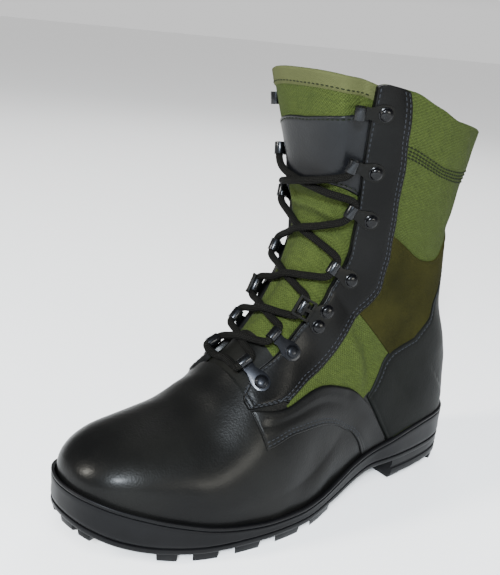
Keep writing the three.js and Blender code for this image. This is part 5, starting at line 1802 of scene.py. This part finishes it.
def build_boot():
    leather = leather_material("leather", rgba(8, 8, 8), rgba(14, 14, 13))
    # The eyestays use the same leather with its colour darkened: the extra darkness is painted shade
    shaded_stay_leather = leather_material("leather_stay_painted_shade", rgba(3, 3, 3), rgba(9, 9, 9), shine=0.06)
    patch_leather = leather_material("leather_patch", rgba(7, 7, 8), rgba(14, 15, 17), shine=0.12)
    inner_leather = leather_material(
        "leather_inner", rgba(9, 9, 8), rgba(15, 15, 13), rough=(0.5, 0.6), coat=0.0, shine=0.05
    )
    heel_leather = leather_material(
        "leather_matte", rgba(7, 8, 7), rgba(12, 13, 11), rough=(0.42, 0.54), coat=0.0, shine=0.04
    )
    canvas = canvas_material("canvas", rgba(12, 18, 4), rgba(51, 61, 24))
    lining = canvas_material("lining", rgba(40, 46, 26), rgba(78, 86, 50), pitch=0.8, strength=0.3)
    tape = canvas_material(
        "binding_tape", rgba(50, 53, 30), rgba(72, 76, 46), pitch=0.6, strength=0.2, streak=0.2
    )
    rubber = rubber_material("rubber", rgba(8, 8, 9), rgba(15, 15, 16))
    black_metal = metal_material("metal_black", rgba(4, 4, 3), 0.34, 0.0, 0.0)
    dome = metal_material("metal_dome", rgba(4, 4, 5), 0.2, 0.0, 0.12)
    steel = metal_material("metal_gunmetal", rgba(24, 25, 28), 0.28, 0.8, 0.08)
    silver = metal_material("metal_silver", rgba(30, 31, 33), 0.22, 0.9, 0.15)
    thread = thread_material("thread_black", rgba(17, 18, 20), rgba(42, 44, 48))
    green_thread = thread_material("thread_green", rgba(8, 12, 5), rgba(18, 24, 10))
    webbing = webbing_material()
    braid = lace_material()

    make_outsole(rubber)
    make_midsole(rubber)
    make_insole(lining)
    make_upper(leather, canvas, lining)

    stitches = Seams()
    for side, label in SIDES:
        name = f"eyestay_{label}"
        stay = Panel(name, side, stay_place, STAY_THICK, STAY_SEAMS, spacing=2.0, radius=1.3)
        # The eyestays take the darker copy of the leather, whose darkness is painted shade
        stay.build(shaded_stay_leather, "leather")
        stay.stitch(stitches, STAY_SEAMS, 0.01, 0.99)
        place = between(quarter_low, quarter_high)
        name = f"quarter_{label}"
        quarter = Panel(name, side, place, QUARTER_THICK, QUARTER_SEAMS, 2.2, 1.1, quarter_swell)
        quarter.build(leather, "leather")
        quarter.stitch(stitches, QUARTER_SEAMS[:2], 0.02, 0.75)
        for k, row in enumerate(LOOP_ROWS):
            make_loop(label, row, k, side, steel if k < LOCK_ROW else black_metal, silver)
            if k == LOCK_ROW:
                make_rivet(label, row, k, side, dome, "_1", -LOCK_SPREAD)
                make_rivet(label, row, k, side, dome, "_2", LOCK_SPREAD)
            else:
                make_rivet(label, row, k, side, steel if k < LOCK_ROW else dome)
    place = between(counter_low, counter_high)
    counter = Panel("heel_counter", 1, place, COUNTER_THICK, COUNTER_SEAMS, spacing=2.4, radius=1.4)
    counter.build(heel_leather, "leather")
    counter.stitch(stitches, COUNTER_SEAMS[:1], 0.02, 0.98)
    stitches.build("stitching_leather", thread, "leather")

    canvas_stitches = Seams()
    place = between(webbing_low, webbing_high)
    band = Panel("ankle_webbing", 1, place, WEBBING_THICK, WEBBING_SEAMS, spacing=2.2, radius=0.6)
    band.build(webbing, "webbing")
    make_tongue(canvas, tape, inner_leather, canvas_stitches)
    make_patch(patch_leather, canvas_stitches)
    stitch_collar(canvas_stitches)
    canvas_stitches.build("stitching_canvas", green_thread, "canvas")
    make_lace(braid)


# The floor, the light and the camera

# The sky's strength from low to high, and the heights between which it falls
SKY_LOW = 0.9
SKY_HIGH = 0.16
SKY_FALL = (0.05, 0.24)
FLOOR_SIZE = 400
SUN_WAY = (-0.55, -0.8, -1.25)
SUN_ENERGY = 2.7
SUN_ANGLE = 30
AREA_LAMPS = [
    # name, place, target, size, power, colour
    ("key", (1.3, 1.2, 1.15), (0.12, 0, 0.08), (0.42, 0.28), 130, (0.84, 0.92, 1.0)),
    ("side", (1.7, -0.5, 1.0), (0.1, 0, 0.1), (0.3, 0.4), 40, (1.0, 0.97, 0.88)),
    ("fill", (-0.1, 1.9, 0.6), (0.1, 0, 0.08), (0.7, 0.4), 21, (1.0, 0.98, 0.88)),
    ("back", (-1.0, -1.2, 1.5), (0.05, 0, 0.15), (1.0, 1.0), 14, (1, 1, 1)),
]


def link_lamp(name, data, way):
    obj = bpy.data.objects.new(name, data)
    bpy.context.scene.collection.objects.link(obj)
    obj.rotation_euler = Vector(way).to_track_quat("-Z", "Y").to_euler()
    return obj


def make_stage():
    n = Nodes("floor")
    n.set(Base_Color=(0.93, 0.93, 0.93, 1.0), Roughness=0.85, Specular_IOR_Level=0.1)
    n.set(Normal=n.bump(n.noise(n.object_place(), 60, 3), 0.05, 0.0005))
    bpy.ops.mesh.primitive_plane_add(size=FLOOR_SIZE, location=(0, 0, 0))
    floor = bpy.context.object
    floor.name = "floor"
    floor.data.materials.append(n.material)

    world = bpy.data.worlds.new("studio")
    bpy.context.scene.world = world
    world.use_nodes = True
    tree = world.node_tree
    background = tree.nodes["Background"]
    background.inputs["Color"].default_value = (1.0, 1.0, 1.0, 1.0)
    place = tree.nodes.new("ShaderNodeTexCoord")
    split = tree.nodes.new("ShaderNodeSeparateXYZ")
    fall = tree.nodes.new("ShaderNodeMapRange")
    tree.links.new(place.outputs["Generated"], split.inputs[0])
    tree.links.new(split.outputs["Z"], fall.inputs[0])
    for socket, value in zip(fall.inputs[1:5], (*SKY_FALL, SKY_LOW, SKY_HIGH)):
        socket.default_value = value
    tree.links.new(fall.outputs[0], background.inputs["Strength"])

    sun = bpy.data.lights.new("sun", "SUN")
    sun.energy = SUN_ENERGY
    sun.angle = math.radians(SUN_ANGLE)
    link_lamp("sun", sun, SUN_WAY).visible_glossy = False
    for name, place, target, size, power, colour in AREA_LAMPS:
        data = bpy.data.lights.new(name, "AREA")
        data.shape = "RECTANGLE"
        data.size, data.size_y = size
        data.energy = power
        data.color = colour
        link_lamp(name, data, Vector(target) - Vector(place)).location = place


CAMERA_EYE = (0.4297, 0.3541, 0.2834)
CAMERA_TURN = 51.2
CAMERA_RISE = 17.3
CAMERA_ROLL = 5.516
CAMERA_LENS = 50.46


def make_camera():
    turn, rise, roll = (math.radians(a) for a in (CAMERA_TURN, CAMERA_RISE, CAMERA_ROLL))
    back = Vector((math.cos(turn) * math.cos(rise), math.sin(turn) * math.cos(rise), math.sin(rise)))
    right = Vector((-math.sin(turn), math.cos(turn), 0))
    up = back.cross(right)
    tilted_right = right * math.cos(roll) + up * math.sin(roll)
    tilted_up = up * math.cos(roll) - right * math.sin(roll)
    data = bpy.data.cameras.new("camera")
    data.sensor_fit = "AUTO"
    data.sensor_width = 36
    data.lens = CAMERA_LENS
    data.clip_start = 0.01
    data.clip_end = 50
    camera = bpy.data.objects.new("camera", data)
    bpy.context.scene.collection.objects.link(camera)
    turned = Matrix((tilted_right, tilted_up, back)).transposed().to_4x4()
    camera.matrix_world = Matrix.Translation(CAMERA_EYE) @ turned
    bpy.context.scene.camera = camera


make_camera()
make_stage()
build_boot()
